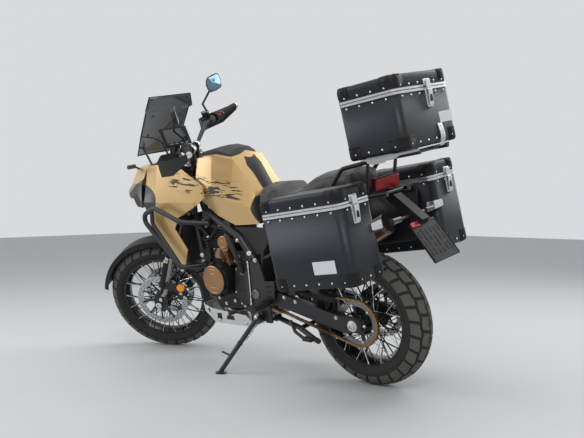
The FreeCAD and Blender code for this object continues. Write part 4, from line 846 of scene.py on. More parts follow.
def struts(starts, ends, radius, sides=6):
    """Thin round bars from each start to each end, all in one mesh."""
    run = ends - starts
    length = np.linalg.norm(run, axis=1)
    angle = np.linspace(0, 2 * math.pi, sides, endpoint=False)
    way = run / length[:, None]
    helper = np.where(np.abs(way[:, 1:2]) < 0.9, (0.0, 1.0, 0.0), (1.0, 0.0, 0.0))
    first = np.cross(way, helper)
    first /= np.linalg.norm(first, axis=1)[:, None]
    second = np.cross(way, first)
    around = (first[:, None] * np.cos(angle)[None, :, None]
              + second[:, None] * np.sin(angle)[None, :, None]) * radius
    points = np.stack([starts[:, None] + around, ends[:, None] + around], 1)
    one = web(points[0], round_columns=True, capped=True)[1]
    faces = [[index + 2 * sides * bar for index in face] for bar in range(len(starts))
             for face in one]
    return points.reshape(-1, 3), faces


for name, body, node, hub_x, radius, crown, bead, rim_half in WHEELS:
    lay = steered if name == "front" else chassis
    barrel, half, flange = HUBS[name]
    lip = bead + 12
    half_rim = [(rim_half + 1, bead + 3), (rim_half + 2, lip), (rim_half - 2, lip + 1),
                (rim_half - 5, bead - 2), (rim_half - 12, bead - 6),
                (rim_half * 0.45, bead - 18), (0, bead - 20)]
    inner = [(0, bead - 27), (rim_half * 0.45, bead - 25), (rim_half - 9, bead - 12),
             (rim_half - 1, bead - 7)]
    section = np.array(half_rim + [(-y, r) for y, r in half_rim[-2::-1]]
                       + [(-y, r) for y, r in inner[:0:-1]] + inner)
    turn = np.linspace(0, 2 * math.pi, 96, endpoint=False)
    rim_points = np.stack([hub_x + section[None, :, 1] * np.cos(turn)[:, None],
                           np.repeat(section[None, :, 0], 96, 0),
                           radius + section[None, :, 1] * np.sin(turn)[:, None]], -1)
    put(name + "_rim", web(rim_points, round_rows=True, round_columns=True), lay, body,
        rim_black, crease=30, stands_for=(node,))
    hub = lathed([(-half - 6, barrel * 0.6), (-half - 6, flange - 3), (-half - 4, flange),
                  (-half + 2, flange), (-half + 5, flange - 5), (-half + 12, barrel + 3),
                  (-half + 20, barrel), (half - 20, barrel), (half - 12, barrel + 3),
                  (half - 5, flange - 5), (half - 2, flange), (half + 4, flange),
                  (half + 6, flange - 3), (half + 6, barrel * 0.6)], 48)
    put(name + "_hub", about_hub(hub, hub_x, radius), lay, body, cast_black)
    number = np.arange(spoke_count)
    side_sign = np.where(number % 2, 1.0, -1.0)
    lean_sign = np.where((number // 2) % 2, 1.0, -1.0)
    base = number * 2 * math.pi / spoke_count
    rim_end = on_wheel(hub_x, radius, base, bead - 4.0, side_sign * (rim_half - 6))
    hub_end = on_wheel(hub_x, radius, base + lean_sign * spoke_swing * 2.1, flange - 5.0,
                       side_sign * (half - 1 - 3.0 * (lean_sign > 0)))
    put(name + "_spokes", struts(hub_end, rim_end, 2.0), lay, body, bright_steel)
    near = rim_end + (hub_end - rim_end) * (17.0 / np.linalg.norm(hub_end - rim_end,
                                                                 axis=1))[:, None]
    put(name + "_nipples", struts(near, rim_end, 3.4), lay, body, bright_steel)

# Brake discs. Floating steel rings with rows of cooling holes, on spidered black carriers;
# two in front and one behind.

DISCS = (  # name, body, stance, hub x, hub height, ring radius, inner radius, y, node
    ("front_left_disc", "front_wheel", steered, wheelbase, front_radius, 149, 116, 64),
    ("front_right_disc", "front_wheel", steered, wheelbase, front_radius, 149, 116, -64),
    ("rear_disc_ring", "rear_wheel", chassis, 0.0, rear_radius, 120, 88, -88),
)
for name, body, lay, hub_x, hub_z, outer, inner, y in DISCS:
    node = "rear_disc" if name.startswith("rear") else "front_discs"
    flat = lathed([(y - 2.5, inner), (y - 2.5, outer - 0.8), (y - 1.7, outer),
                   (y + 1.7, outer), (y + 2.5, outer - 0.8), (y + 2.5, inner)], 96)
    points, faces = about_hub(flat, hub_x, hub_z)
    faces = faces[:-2] + [[index, (index + 1) % 96, 480 + (index + 1) % 96, 480 + index]
                          for index in range(96)]
    put(name, (points, faces), lay, body, disc_steel, stands_for=(node,))
    rows = np.arange(72)
    hole_out = inner + 9 + (rows % 3) * (outer - inner - 17) / 2
    spots = on_wheel(hub_x, hub_z, rows * 2 * math.pi / 72, hole_out, y)
    outward = np.zeros_like(spots)
    outward[:, 1] = 1
    # The cooling holes are dark plugs of painted shadow.
    put(name + "_holes", copies(lathed([(-2.7, 3.1), (2.7, 3.1)], 8), spots, outward), lay,
        body, dark_shadow)
    angles = np.arange(10) * 2 * math.pi / 10
    arms = struts(on_wheel(hub_x, hub_z, angles + 0.25, HUBS["rear" if node == "rear_disc"
                  else "front"][2] - 6.0, y * 0.97), on_wheel(hub_x, hub_z, angles, inner + 4.0, y),
                  4.6, 8)
    bobbins = copies(lathed([(-3.6, 6.4), (3.6, 6.4)], 12),
                     on_wheel(hub_x, hub_z, angles, inner + 3.0, y), outward[:10])
    middle = about_hub(lathed([(y - 3, 24), (y - 3, 52), (y + 3, 52), (y + 3, 24)], 40),
                       hub_x, hub_z)
    put(name + "_carrier", joined([arms, bobbins, middle]), lay, body, rim_black)


# Body panels in sand-gold lacquer: tank, side shrouds and the beak round the headlamp.
# Each is the CAD panel's own shape with its edges eased and its curves shaded smooth, and
# a loose pattern of dark slanted dashes runs over the tank's flank and the shroud.

panel_edge = 2.4


def eased(name, node, body, finish, crease=24, edge=0.0, swell=0.0):
    """A copy of a CAD node: its triangles are merged, flat runs are made whole faces, and
    its sharp edges get a small round."""
    mesh = nodes[node].data.copy()
    work = bmesh.new()
    work.from_mesh(mesh)
    bmesh.ops.remove_doubles(work, verts=work.verts, dist=0.00005)
    bmesh.ops.dissolve_limit(work, angle_limit=math.radians(1.2), verts=work.verts,
                             edges=work.edges)
    work.to_mesh(mesh)
    work.free()
    mesh.materials.clear()
    mesh.materials.append(finish)
    mesh.polygons.foreach_set("use_smooth", [True] * len(mesh.polygons))
    mesh.set_sharp_from_angle(angle=math.radians(crease))
    mesh.name = name
    piece = bpy.data.objects.new(name, mesh)
    scene.collection.objects.link(piece)
    if edge:
        rounder = piece.modifiers.new("edge", "BEVEL")
        rounder.width, rounder.segments = edge / 1000, 3
        rounder.limit_method, rounder.angle_limit = "ANGLE", math.radians(crease)
        rounder.use_clamp_overlap = True
        rounder.miter_outer = "MITER_ARC"
        keeper = piece.modifiers.new("keep", "WEIGHTED_NORMAL")
        keeper.keep_sharp = False
    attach(piece, body)
    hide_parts(node)
    return piece


def dotted(place, axis):
    """How far a place lies along one of the machine's own axes, from the rear hub."""
    measured = place.node("VectorMath", {"operation": "DOT_PRODUCT"}, out=1, s0=place,
                          s1=tuple(float(part) for part in axis))
    return measured - float(np.dot(rear_hub, axis))


def dash_pattern(place):
    """Dark dashes: slanted bands cut by a coarse, stretched noise, inside two windows."""
    forward, up = dotted(place, stance[:, 0]), dotted(place, stance[:, 2])
    slant = up - forward * 0.16
    streaks = place.node("CombineXYZ", s0=forward * 11.0, s1=slant * 64.0, s2=0.0)
    torn = streaks.node("TexNoise", s0=streaks, Scale=1.0, Detail=2.0, Roughness=0.6)
    fine = streaks.node("TexNoise", s0=streaks * 2.7, Scale=1.0, Detail=1.0, Roughness=0.5)
    window = (forward.above(0.600, 0.02) * forward.below(1.075, 0.03)
              * slant.above(0.482, 0.012) * slant.below(0.566, 0.012))
    heart = 1 - (slant - 0.524).wrapped(9.0) * 9.0
    return ((torn * 0.72 + fine * 0.28 + heart * 0.05).above(0.572, 0.010)) * window


def gold_finish(name, marked):
    """Satin lacquer over metal flakes, lighter in clouds, with dark parts on top: the dashes,
    a dark oval at the nose and the moulded inset beside the seat, or the beak's lower half."""
    made, shader_node, place = material(name, Coat_Weight=0.45, Coat_Roughness=0.14)
    forward, up = dotted(place, stance[:, 0]), dotted(place, stance[:, 2])
    flakes = place.node("TexVoronoi", {"feature": "F1"}, s0=place, Scale=1500.0)
    cloud = noise(place, 3.0)
    base = (flakes * 0.30 + cloud * 0.70).colours((0.58, 0.372, 0.146), (0.76, 0.512, 0.218))
    if marked:
        mouth = (abs(forward - 1.345) / 0.155) ** 2.0 + (abs(up - 0.590) / 0.085) ** 2.0
        flank = (abs(forward - 0.425) / 0.115) ** 2.0 + (abs(up - 0.555) / 0.115) ** 2.0
        marks = dash_pattern(place).most(mouth.below(1.0, 0.03)).most(flank.below(1.0, 0.03))
    else:
        marks = (up + forward * 0.342).below(1.160, 0.002) * forward.below(1.610, 0.002)
    linked(shader_node, Base_Color=marks.colours(base, graphic_dark),
           Metallic=(1 - marks) * 0.42, Roughness=cloud * 0.08 + marks * 0.16 + 0.30,
           Normal=bumped(place, flakes, 0.000010))
    return made


gold_marked = gold_finish("sand_gold_marked", True)
gold_plain = gold_finish("sand_gold_plain", False)

eased("tank_panels", "fuel_tank", "chassis", gold_marked, edge=panel_edge)
eased("shroud_panels", "side_shrouds", "chassis", gold_marked, edge=1.2)
eased("beak_panels", "nose_fairing", "chassis", gold_plain, edge=panel_edge)
eased("tank_top", "tank_cover", "chassis", charcoal, edge=2.0)
eased("side_panels", "side_covers", "chassis", charcoal, edge=2.0)
eased("tail_panels", "tail_section", "chassis", charcoal, edge=2.0)

# Seats: two moulded foam pads under a tight charcoal cover, with a grippy dotted top. Each
# is blown up a little as cloth from the CAD seat, and a piped, stitched seam runs along
# both edges of its top and across its ends.

seat_cell, seat_cap, seam_radius, stitch_pitch = 0.0065, 0.007, 1.5, 7.5
SEAMS = (  # pad, seat node, then rows of distance along and half width of the side seam
    ("rider_pad", "rider_seat", ((478, 84), (440, 98), (400, 108), (362, 112), (320, 110),
                                 (280, 106), (258, 100))),
    ("passenger_pad", "passenger_seat", ((225, 96), (180, 104), (120, 108), (60, 104),
                                         (0, 92), (-40, 78))),
)


def seat_finish():
    """Grained vinyl: cell-like leather grain, a cloudy wear to the colour, soft gloss."""
    made, shader_node, place = material("seat_vinyl", Sheen_Weight=0.15)
    cells = place.node("TexVoronoi", {"feature": "DISTANCE_TO_EDGE"}, s0=place, Scale=420.0)
    cloud, fine = noise(place, 7.0), noise(place, 900.0)
    grain = cells.maths("MULTIPLY", 6.0).least(1.0) * 0.8 + fine * 0.2
    linked(shader_node, Base_Color=(cloud * 0.6 + fine * 0.4).colours(
        (0.026, 0.025, 0.025), (0.050, 0.048, 0.048)),
        Roughness=cloud * 0.10 + fine * 0.06 + 0.46, Normal=bumped(place, grain, 0.00025))
    return made


def stitch_finish():
    """Grey thread: twisted, and lighter and darker by turns, a painted light and shade of its twist.
    """
    made, shader_node, place = material("seat_thread", Roughness=0.75)
    twist_and_shade = noise(place, 1800.0)
    linked(shader_node, Base_Color=twist_and_shade.colours((0.10, 0.10, 0.10), (0.20, 0.20, 0.20)),
           Normal=bumped(place, twist_and_shade, 0.0001))
    return made


def mesh_points(mesh):
    flat = np.empty(len(mesh.vertices) * 3)
    mesh.vertices.foreach_get("co", flat)
    return flat.reshape(-1, 3)


def settled(piece):
    """The piece's mesh with its modifiers worked in."""
    made = bpy.data.meshes.new_from_object(
        piece.evaluated_get(bpy.context.evaluated_depsgraph_get()))
    piece.modifiers.clear()
    piece.data = made
    return made


def blown_pad(name, node):
    """A closed pad: the CAD seat merged, remeshed in small cells, smoothed, then blown up
    as cloth; each point moves by no more than the cap, and the flat base stays."""
    mesh = nodes[node].data.copy()
    work = bmesh.new()
    work.from_mesh(mesh)
    bmesh.ops.remove_doubles(work, verts=work.verts, dist=0.00005)
    work.to_mesh(mesh)
    work.free()
    piece = bpy.data.objects.new(name, mesh)
    scene.collection.objects.link(piece)
    cells = piece.modifiers.new("cells", "REMESH")
    cells.mode, cells.voxel_size = "VOXEL", seat_cell
    soft = piece.modifiers.new("soft", "SMOOTH")
    soft.factor, soft.iterations = 0.5, 9
    mesh = settled(piece)
    start = mesh_points(mesh)
    cloth = piece.modifiers.new("air", "CLOTH")
    cloth.settings.effector_weights.gravity = 0
    cloth.settings.use_pressure = True
    cloth.settings.uniform_pressure_force = 4
    cloth.point_cache.frame_start, cloth.point_cache.frame_end = 1, 20
    for step in range(1, 21):
        scene.frame_set(step)
    mesh = settled(piece)
    scene.frame_set(1)
    moved = mesh_points(mesh) - start
    reach = np.linalg.norm(moved, axis=1)[:, None]
    moved *= np.minimum(1, seat_cap / np.maximum(reach, 1e-9))
    normals = np.empty(len(mesh.vertices) * 3)
    mesh.vertices.foreach_get("normal", normals)
    facing = normals.reshape(-1, 3) @ stance[:, 2]
    moved *= np.clip((facing + 0.75) / 0.35, 0, 1)[:, None]
    mesh.vertices.foreach_set("co", (start + moved).ravel())
    mesh.polygons.foreach_set("use_smooth", [True] * len(mesh.polygons))
    mesh.update()
    return piece


def dropped_onto(piece, along, aside):
    """Points where rays from straight above, in the upright frame, meet the pad."""
    down = tuple(float(part) for part in -stance[:, 2])
    hits = []
    for x, y in zip(along, aside):
        above = chassis([(x, y, 1300)])[0]
        met, spot, _, _ = piece.ray_cast(tuple(above), down)
        if met:
            hits.append(tuple(spot))
    return np.array(hits)


seat_vinyl, seat_thread = seat_finish(), stitch_finish()
for name, node, rows in SEAMS:
    pad = blown_pad(name, node)
    pad.data.materials.clear()
    pad.data.materials.append(seat_vinyl)
    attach(pad, "chassis")
    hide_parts(node)
    bpy.context.view_layer.update()
    along, half = np.array(rows, float).T
    fine_along = np.linspace(along[0], along[-1], 60)
    fine_half = np.interp(-fine_along, -along, half)
    turn = np.linspace(0, math.pi, 24)
    seams, stitches = [], []
    for side in (1, -1):
        line = dropped_onto(pad, fine_along, side * fine_half)
        seams.append(swept(line, ring(seam_radius / 1000, 6)))
        for offset in (4.0, -4.0):
            thread = dropped_onto(pad, fine_along, side * (fine_half + offset))
            run = np.linalg.norm(np.diff(thread, axis=0), axis=1).cumsum()
            ticks = np.arange(0.004, run[-1] - 0.004, stitch_pitch / 1000)
            ends = [np.stack([np.interp(ticks + shift, np.concatenate([[0], run]), axis)
                              for axis in thread.T], -1) for shift in (-0.0022, 0.0022)]
            stitches.append(struts(ends[0], ends[1], 0.0005, 5))
    for end, reach in ((along[0], half[0]), (along[-1], half[-1])):
        line = dropped_onto(pad, np.full(30, end), np.linspace(-reach, reach, 30))
        if len(line) > 3:
            seams.append(swept(line, ring(seam_radius / 1000, 6)))
    put(name + "_piping", joined(seams), None, "chassis", seat_vinyl)
    put(name + "_stitches", joined(stitches), None, "chassis", seat_thread)

# Chain drive: a gold-brown roller chain of plates and rollers round two sprockets. The rear
# one is a toothed steel ring with windows, bolted to a dark carrier on the hub.

chain_line, chain_pitch, roller_radius = 99.0, 15.875, 5.08
rear_pitch_radius, rear_teeth = chain_pitch / 2 / math.sin(math.pi / 43), 43
front_pitch_radius, front_teeth = chain_pitch / 2 / math.sin(math.pi / 15), 15
front_sprocket = np.array((648.0, 428.0))
rear_sprocket_centre = np.array((0.0, rear_radius))


def chain_joints():
    """Pin centres round both sprockets: two tangent runs and two arcs, cut in equal steps
    that come as near to the pitch as a whole, even number of links allows."""
    run = front_sprocket - rear_sprocket_centre
    heading = math.atan2(run[1], run[0])
    lean = math.acos((rear_pitch_radius - front_pitch_radius) / np.linalg.norm(run))
    over = np.linspace(heading + lean, heading - lean, 40)
    under = np.linspace(heading - lean, heading + lean - 2 * math.pi, 90)
    front_arc = front_sprocket + front_pitch_radius * np.stack([np.cos(over), np.sin(over)], -1)
    rear_arc = rear_sprocket_centre + rear_pitch_radius * np.stack([np.cos(under),
                                                                    np.sin(under)], -1)
    loop = np.concatenate([front_arc, rear_arc, front_arc[:1]])
    length = np.concatenate([[0], np.linalg.norm(np.diff(loop, axis=0), axis=1).cumsum()])
    links = 2 * round(length[-1] / chain_pitch / 2)
    steps = np.linspace(0, length[-1], links, endpoint=False)
    return np.stack([np.interp(steps, length, axis) for axis in loop.T], -1)


def link_plates(starts, ends, inner, outer, high):
    """Waisted plates between pairs of pins, both sides of the chain line: an outline of
    twelve points whose half height shrinks to two thirds in the middle."""
    turn = np.linspace(-math.pi / 2, math.pi / 2, 5)
    round_end = np.stack([np.cos(turn), np.sin(turn)], -1) * high
    middle = chain_pitch / 2
    outline = np.concatenate([round_end + (chain_pitch, 0), [(middle, high * 0.66)],
                              -round_end, [(middle, -high * 0.66)]])
    ahead = (ends - starts) / np.linalg.norm(ends - starts, axis=1)[:, None]
    upward = np.stack([-ahead[:, 1], ahead[:, 0]], -1)
    flat = (starts[:, None] + outline[None, :, :1] * ahead[:, None]
            + outline[None, :, 1:] * upward[:, None])
    shapes = []
    for side in (1, -1):
        for plate in flat:
            shapes.append(extruded(plate, chain_line + side * inner, chain_line + side * outer))
    return shapes


pins = chain_joints()
after = np.roll(pins, -1, 0)
links = link_plates(pins[::2], after[::2], 3.4, 5.2, 7.0) + link_plates(
    pins[1::2], after[1::2], 5.5, 7.3, 6.6)
pin_turn = np.linspace(0, 2 * math.pi, 8, endpoint=False)
pin_ring = np.stack([np.cos(pin_turn), np.sin(pin_turn)], -1)
rollers = [extruded(pin + pin_ring * roller_radius, chain_line - 3.2, chain_line + 3.2)
           for pin in pins]
rivet_heads = [extruded(pin + pin_ring * 2.5, chain_line - 8.2, chain_line + 8.2)
               for pin in pins]
put("roller_chain", joined(links + rollers + rivet_heads), chassis, "chassis", chain_gold,
    stands_for=("chain",), crease=30)


def toothed_ring(centre, pitch_radius, teeth, inner, wall):
    """A flat ring whose rim is a row of teeth: the radius follows a cosine, cut off above
    and below, one wave to a tooth."""
    angle = np.linspace(0, 2 * math.pi, teeth * 8, endpoint=False)
    wave = np.clip(np.cos(angle * teeth) * 1.5, -1, 1)
    outer = pitch_radius + wave * 3.6 - 0.6
    rows = []
    for radius, level in ((outer, -wall / 2), (outer, wall / 2), (inner, wall / 2),
                          (inner, -wall / 2)):
        rows.append(np.stack([centre[0] + radius * np.cos(angle),
                              np.full(len(angle), chain_line + level),
                              centre[1] + radius * np.sin(angle)], -1))
    return web(np.stack(rows), round_rows=True, round_columns=True)


sprocket_steel = surface("sprocket_steel", (0.16, 0.155, 0.15), (0.30, 0.29, 0.28), 0.34,
                         520.0, 0.00003, metal=0.95)
put("rear_sprocket_ring", toothed_ring(rear_sprocket_centre, rear_pitch_radius, rear_teeth,
                                       82.0, 6.0),
    chassis, "rear_wheel", sprocket_steel, stands_for=("rear_sprocket",),
    crease=30)

carrier_turn = np.linspace(0, 2 * math.pi, 6, endpoint=False) + 0.3
arms = []
for turn in carrier_turn:
    spread = np.array([(-0.30, 34), (-0.11, 60), (-0.13, 90), (0.13, 90), (0.11, 60),
                       (0.30, 34)])
    arms.append(extruded(np.stack([spread[:, 1] * np.cos(turn + spread[:, 0]),
                                   rear_radius + spread[:, 1] * np.sin(turn + spread[:, 0])],
                                  -1), chain_line - 11, chain_line - 3.1))
carrier_hub = about_hub(lathed([(34, 40), (60, 46), (86, 44), (92, 40), (96, 28), (96, 17)],
                               36), 0, rear_radius)
put("sprocket_carrier", joined(arms + [carrier_hub]), chassis, "rear_wheel", satin_black,
    crease=35)
bolt_head = lathed([(0, 6.6), (0.8, 7.2), (4.4, 7.2), (5.2, 6.2), (5.2, 2.6), (3.6, 2.2)], 6)
put("sprocket_bolts", copies(bolt_head, np.stack(
    [87 * np.cos(carrier_turn), np.full(6, chain_line + 3.0),
     rear_radius + 87 * np.sin(carrier_turn)], -1), np.tile((0, 1, 0), (6, 1))),
    chassis, "rear_wheel", bright_steel, crease=30)

# Fasteners that sit on the castings and the frame. Each is a silver hexagon or button head
# on its washer, and a ray from beside the machine finds the surface that it is seated on.

BOLTS = (  # side, nodes it may sit on, head radius, then places along the machine and up
    (1, ("engine_block", "engine_covers"), 6.0,
     ((905, 610), (905, 440), (880, 640), (850, 640), (800, 622), (900, 520), (885, 380),
      (650, 590), (700, 610), (730, 585), (770, 372), (838, 352), (700, 352), (650, 356))),
    (1, ("engine_block",), 5.0, ((634, 548), (702, 548), (724, 430), (694, 372), (634, 384),
                                 (932, 760), (880, 768), (830, 764), (812, 800), (944, 792),
                                 (880, 826))),
    (1, ("main_frame",), 8.0, ((551, 607), (575, 642), (640, 706), (952, 612), (956, 580))),
    (1, ("engine_guard",), 8.5, ((864, 787), (945, 560))),
    (1, ("bash_plate",), 6.5, ((700, 258), (900, 258), (984, 316))),
    (1, ("swingarm",), 6.0, ((400, 424), (330, 408), (90, 352))),
    (-1, ("engine_block", "engine_covers"), 6.0,
     ((905, 610), (905, 440), (880, 640), (800, 622), (900, 520), (885, 380), (760, 376),
      (690, 420), (694, 490), (760, 526), (826, 484), (826, 416), (650, 590), (650, 400))),
    (-1, ("engine_block",), 5.0, ((932, 760), (880, 768), (830, 764), (812, 800), (944, 792))),
    (-1, ("main_frame",), 8.0, ((551, 607), (575, 642), (952, 612), (956, 580))),
    (-1, ("engine_guard",), 8.5, ((864, 787), (945, 560))),
    (-1, ("bash_plate",), 6.5, ((700, 258), (900, 258), (984, 316))),
    (-1, ("swingarm",), 6.0, ((400, 424), (330, 408))),
)
hex_head = lathed([(0, 1.45), (0.10, 1.5), (0.22, 1.5), (0.24, 1.05), (0.88, 1.0),
                   (1.0, 0.84), (1.0, 0.42), (0.72, 0.36)], 12)


def seated(names, side, places, lay=chassis):
    """Row places and outward directions where rays from one side meet the named nodes."""
    spots, outs = [], []
    for x, z in places:
        start, middle = lay([(x, side * 420, z), (x, 0, z)])
        inward, start = tuple(unit(middle - start)), tuple(start)
        best = None
        for name in names:
            met, spot, normal, _ = nodes[name].ray_cast(start, inward)
            if met:
                away = sum((a - b) ** 2 for a, b in zip(spot, start))
                if best is None or away < best[0]:
                    best = (away, tuple(spot), tuple(normal))
        if best and abs(np.dot(best[2], inward)) > 0.8:
            spots.append(best[1])
            outs.append(best[2])
    return np.array(spots), np.array(outs)


bolts = []
for side, names, size, places in BOLTS:
    spots, outs = seated(names, side, places)
    if len(spots):
        bolts.append(copies((hex_head[0] * size / 1000, hex_head[1]), spots, outs))
put("body_bolts", joined(bolts), None, "chassis", bright_steel, crease=30)

# Engine side. The generator cover is a bronze lid with turned rings over a dark gasket
# band; the water pump above it is a ribbed bronze casting, and black hoses leave it.

gasket_black = surface("gasket_black", (0.010, 0.011, 0.013), (0.020, 0.021, 0.024), 0.42,
                       400.0, 0.00005, metal=0.5)
cover_face = lathed([(204.6, 76.0), (206.4, 73.5), (207.6, 66.0), (206.2, 64.0),
                     (206.2, 61.0), (207.8, 59.0), (208.4, 40.0), (207.4, 38.5),
                     (207.4, 36.5), (208.4, 35.0), (208.8, 12.0), (208.8, 0.1)], 64)
cover_band = lathed([(176.0, 86.0), (178.0, 88.0), (186.0, 88.0), (188.0, 84.0),
                     (196.0, 80.5), (199.5, 80.0), (199.5, 70.0)], 64)
put("generator_lid", about_hub(cover_face, 820, 500), chassis, "chassis", bronze_cast,
    crease=28)
put("generator_band", about_hub(cover_band, 820, 500), chassis, "chassis", gasket_black,
    crease=28)
crescent = softened([(738, 560), (752, 640), (792, 662), (834, 640), (846, 606), (790, 596)],
                    14, 5)
rib_rows = [extruded(softened([(752 + 14 * n, 604), (760 + 14 * n, 604), (772 + 12 * n, 648),
                               (764 + 12 * n, 648)], 2, 3), 150, 158) for n in range(4)]
pump_arm = softened([(728, 664), (742, 640), (776, 640), (786, 668), (776, 706), (736, 712)],
                    12, 5)
put("pump_casting", joined(
    [extruded(crescent, 119, 150), extruded(pump_arm, 113, 156)] + rib_rows
    + [about_hub(lathed([(170, 34), (172.5, 32), (173, 24), (171.5, 22), (171.5, 12),
                         (174, 10), (174, 0.1)], 36), 752, 690)]),
    chassis, "chassis", bronze_cast, crease=34, bevel=1.5)
lid_turn = np.linspace(0, 2 * math.pi, 9, endpoint=False) + 0.2
ear = lathed([(0, 8), (1.5, 9), (14, 9), (15, 8), (15, 4.6), (19, 4.4), (19, 0.1)], 14)
put("cover_screws", copies(ear, np.stack([820 + 88 * np.cos(lid_turn), np.full(9, 178.0),
                                          500 + 88 * np.sin(lid_turn)], -1),
                           np.tile((0, 1, 0), (9, 1))),
    chassis, "chassis", gasket_black, crease=30)

HOSES = (  # radius, then points along, across, up
    (13.0, ((744, 142, 716), (716, 160, 720), (690, 172, 690), (668, 176, 650),
            (652, 172, 600), (650, 162, 556), (654, 148, 534))),
    (11.0, ((790, 128, 660), (782, 150, 640), (768, 158, 610), (770, 150, 596))),
    (9.0, ((1010, 120, 790), (980, 134, 770), (930, 132, 752), (900, 120, 700))),
    (7.0, ((930, 108, 800), (900, 128, 780), (850, 138, 772), (800, 134, 760),
           (742, 126, 740), (700, 118, 700))),
    (5.0, ((960, 112, 700), (930, 126, 690), (890, 130, 700), (850, 126, 730),
           (820, 128, 770))),
    (13.0, ((744, -142, 716), (716, -132, 700), (690, -130, 670), (668, -128, 640))),
    (8.0, ((960, -112, 700), (930, -126, 690), (880, -130, 700), (830, -126, 730))),
)
clip = lathed([(-3.5, 1.02), (-3.5, 1.14), (3.5, 1.14), (3.5, 1.02)], 18)
hoses, clips = [], []
for radius, points in HOSES:
    line = curved(points, 6)
    hoses.append(swept(line, ring(radius, 14)))
    for spot, after_spot in ((line[1], line[2]), (line[-2], line[-3])):
        shape = clip[0] * (radius, radius, 1.0), clip[1]
        clips.append(copies(shape, [spot], [after_spot - spot]))
put("engine_hoses", joined(hoses), chassis, "chassis", soft_rubber)
put("hose_clips", joined(clips), chassis, "chassis", bright_steel, crease=30)

# Left foot controls: a silver gear rod with ball ends, the black gear lever with a rubber
# toe peg, the sprocket cover's ribs and the slotted heel plate.


def turned_bar(start, end, profile, steps=14):
    """A bar turned about the line between two points: rows of share along and radius."""
    start, end = np.asarray(start, float), np.asarray(end, float)
    share, radius = np.asarray(profile, float).T
    length = np.linalg.norm(end - start)
    return copies(lathed(np.stack([share * length, radius], -1), steps), [start],
                  [end - start])


ball = [(0, 0.1), (0.01, 6), (0.04, 8), (0.07, 6), (0.09, 4.2), (0.12, 5.4), (0.16, 5.4),
        (0.17, 3.4), (0.83, 3.4), (0.84, 5.4), (0.88, 5.4), (0.91, 4.2), (0.93, 6),
        (0.96, 8), (0.99, 6), (1.0, 0.1)]
put("gear_rod", turned_bar((600, 158, 604), (611, 160, 368), ball), chassis, "chassis",
    bright_steel, crease=30)
lever_section = ring(6.5, 10, 0.7)
put("gear_lever", joined([
    swept(curved([(606, 154, 604), (624, 158, 606), (640, 156, 600)], 5), lever_section),
    swept(curved([(560, 166, 352), (611, 172, 360), (660, 184, 350), (706, 190, 340)], 6),
          lever_section)]),
    chassis, "chassis", satin_black)
toe_ribs = [(0, 0.1), (0.02, 9)]
for step in np.linspace(0.06, 0.94, 12):
    toe_ribs += [(step - 0.02, 10.5), (step + 0.02, 9.0)]
put("toe_peg", turned_bar((706, 182, 340), (706, 232, 340), toe_ribs + [(1, 9), (1, 0.1)]),
    chassis, "chassis", soft_rubber)
cover_outline = softened([(628, 376), (698, 364), (732, 431), (709, 556), (628, 556)], 16, 5)
cover_panels = [extruded(cover_outline, 143, 148)]
for low, high in ((392, 436), (448, 496), (508, 544)):
    cover_panels.append(extruded(softened([(640, low), (700, low), (706, high), (640, high)],
                                          6, 4), 147.5, 150.5))
put("sprocket_cover", joined(cover_panels), chassis, "chassis", charcoal,
    bevel=1.4)
heel_outline = softened([(508, 500), (436, 506), (450, 414), (524, 407), (530, 470)], 10, 5)
put("heel_plate", extruded(heel_outline, 154.6, 158.2), chassis, "chassis", satin_black,
    bevel=1.0)
# The heel plate's slots are dark plates of painted shadow.
heel_slots = [extruded(softened([(452 + 6 * n, 484 - 26 * n), (500 + 3 * n, 478 - 26 * n),
                                 (500 + 3 * n, 468 - 26 * n), (452 + 6 * n, 474 - 26 * n)],
                                4, 4), 158.1, 158.7) for n in range(3)]
put("heel_slots", joined(heel_slots), chassis, "chassis", dark_shadow)
put("pivot_ring", joined([
    about_hub(lathed([(154.0, 24), (158.0, 24), (160.0, 21), (160.0, 15), (156.0, 13),
                      (156.0, 0.1)], 40), 575, 430)]),
    chassis, "chassis", grey_alloy, crease=30)

# Fork: grey polished inner tubes that slide into black outers over dust seals, black stone
# guards bolted beside them with a small two-colour reflector, and silver caps on top.

fork_side, fork_ahead = 106.0, 32.0
axis_base, axis_way = np.array((1420.9, 0, 309.9)), np.array((-0.43837, 0, 0.89879))
axis_ahead = np.array((0.89879, 0, 0.43837))


def on_fork(height, ahead, side):
    """A point up the leg from the axle, ahead of the steering axis, and to its side."""
    return axis_base + axis_way * height + axis_ahead * ahead + np.array((0, side, 0))


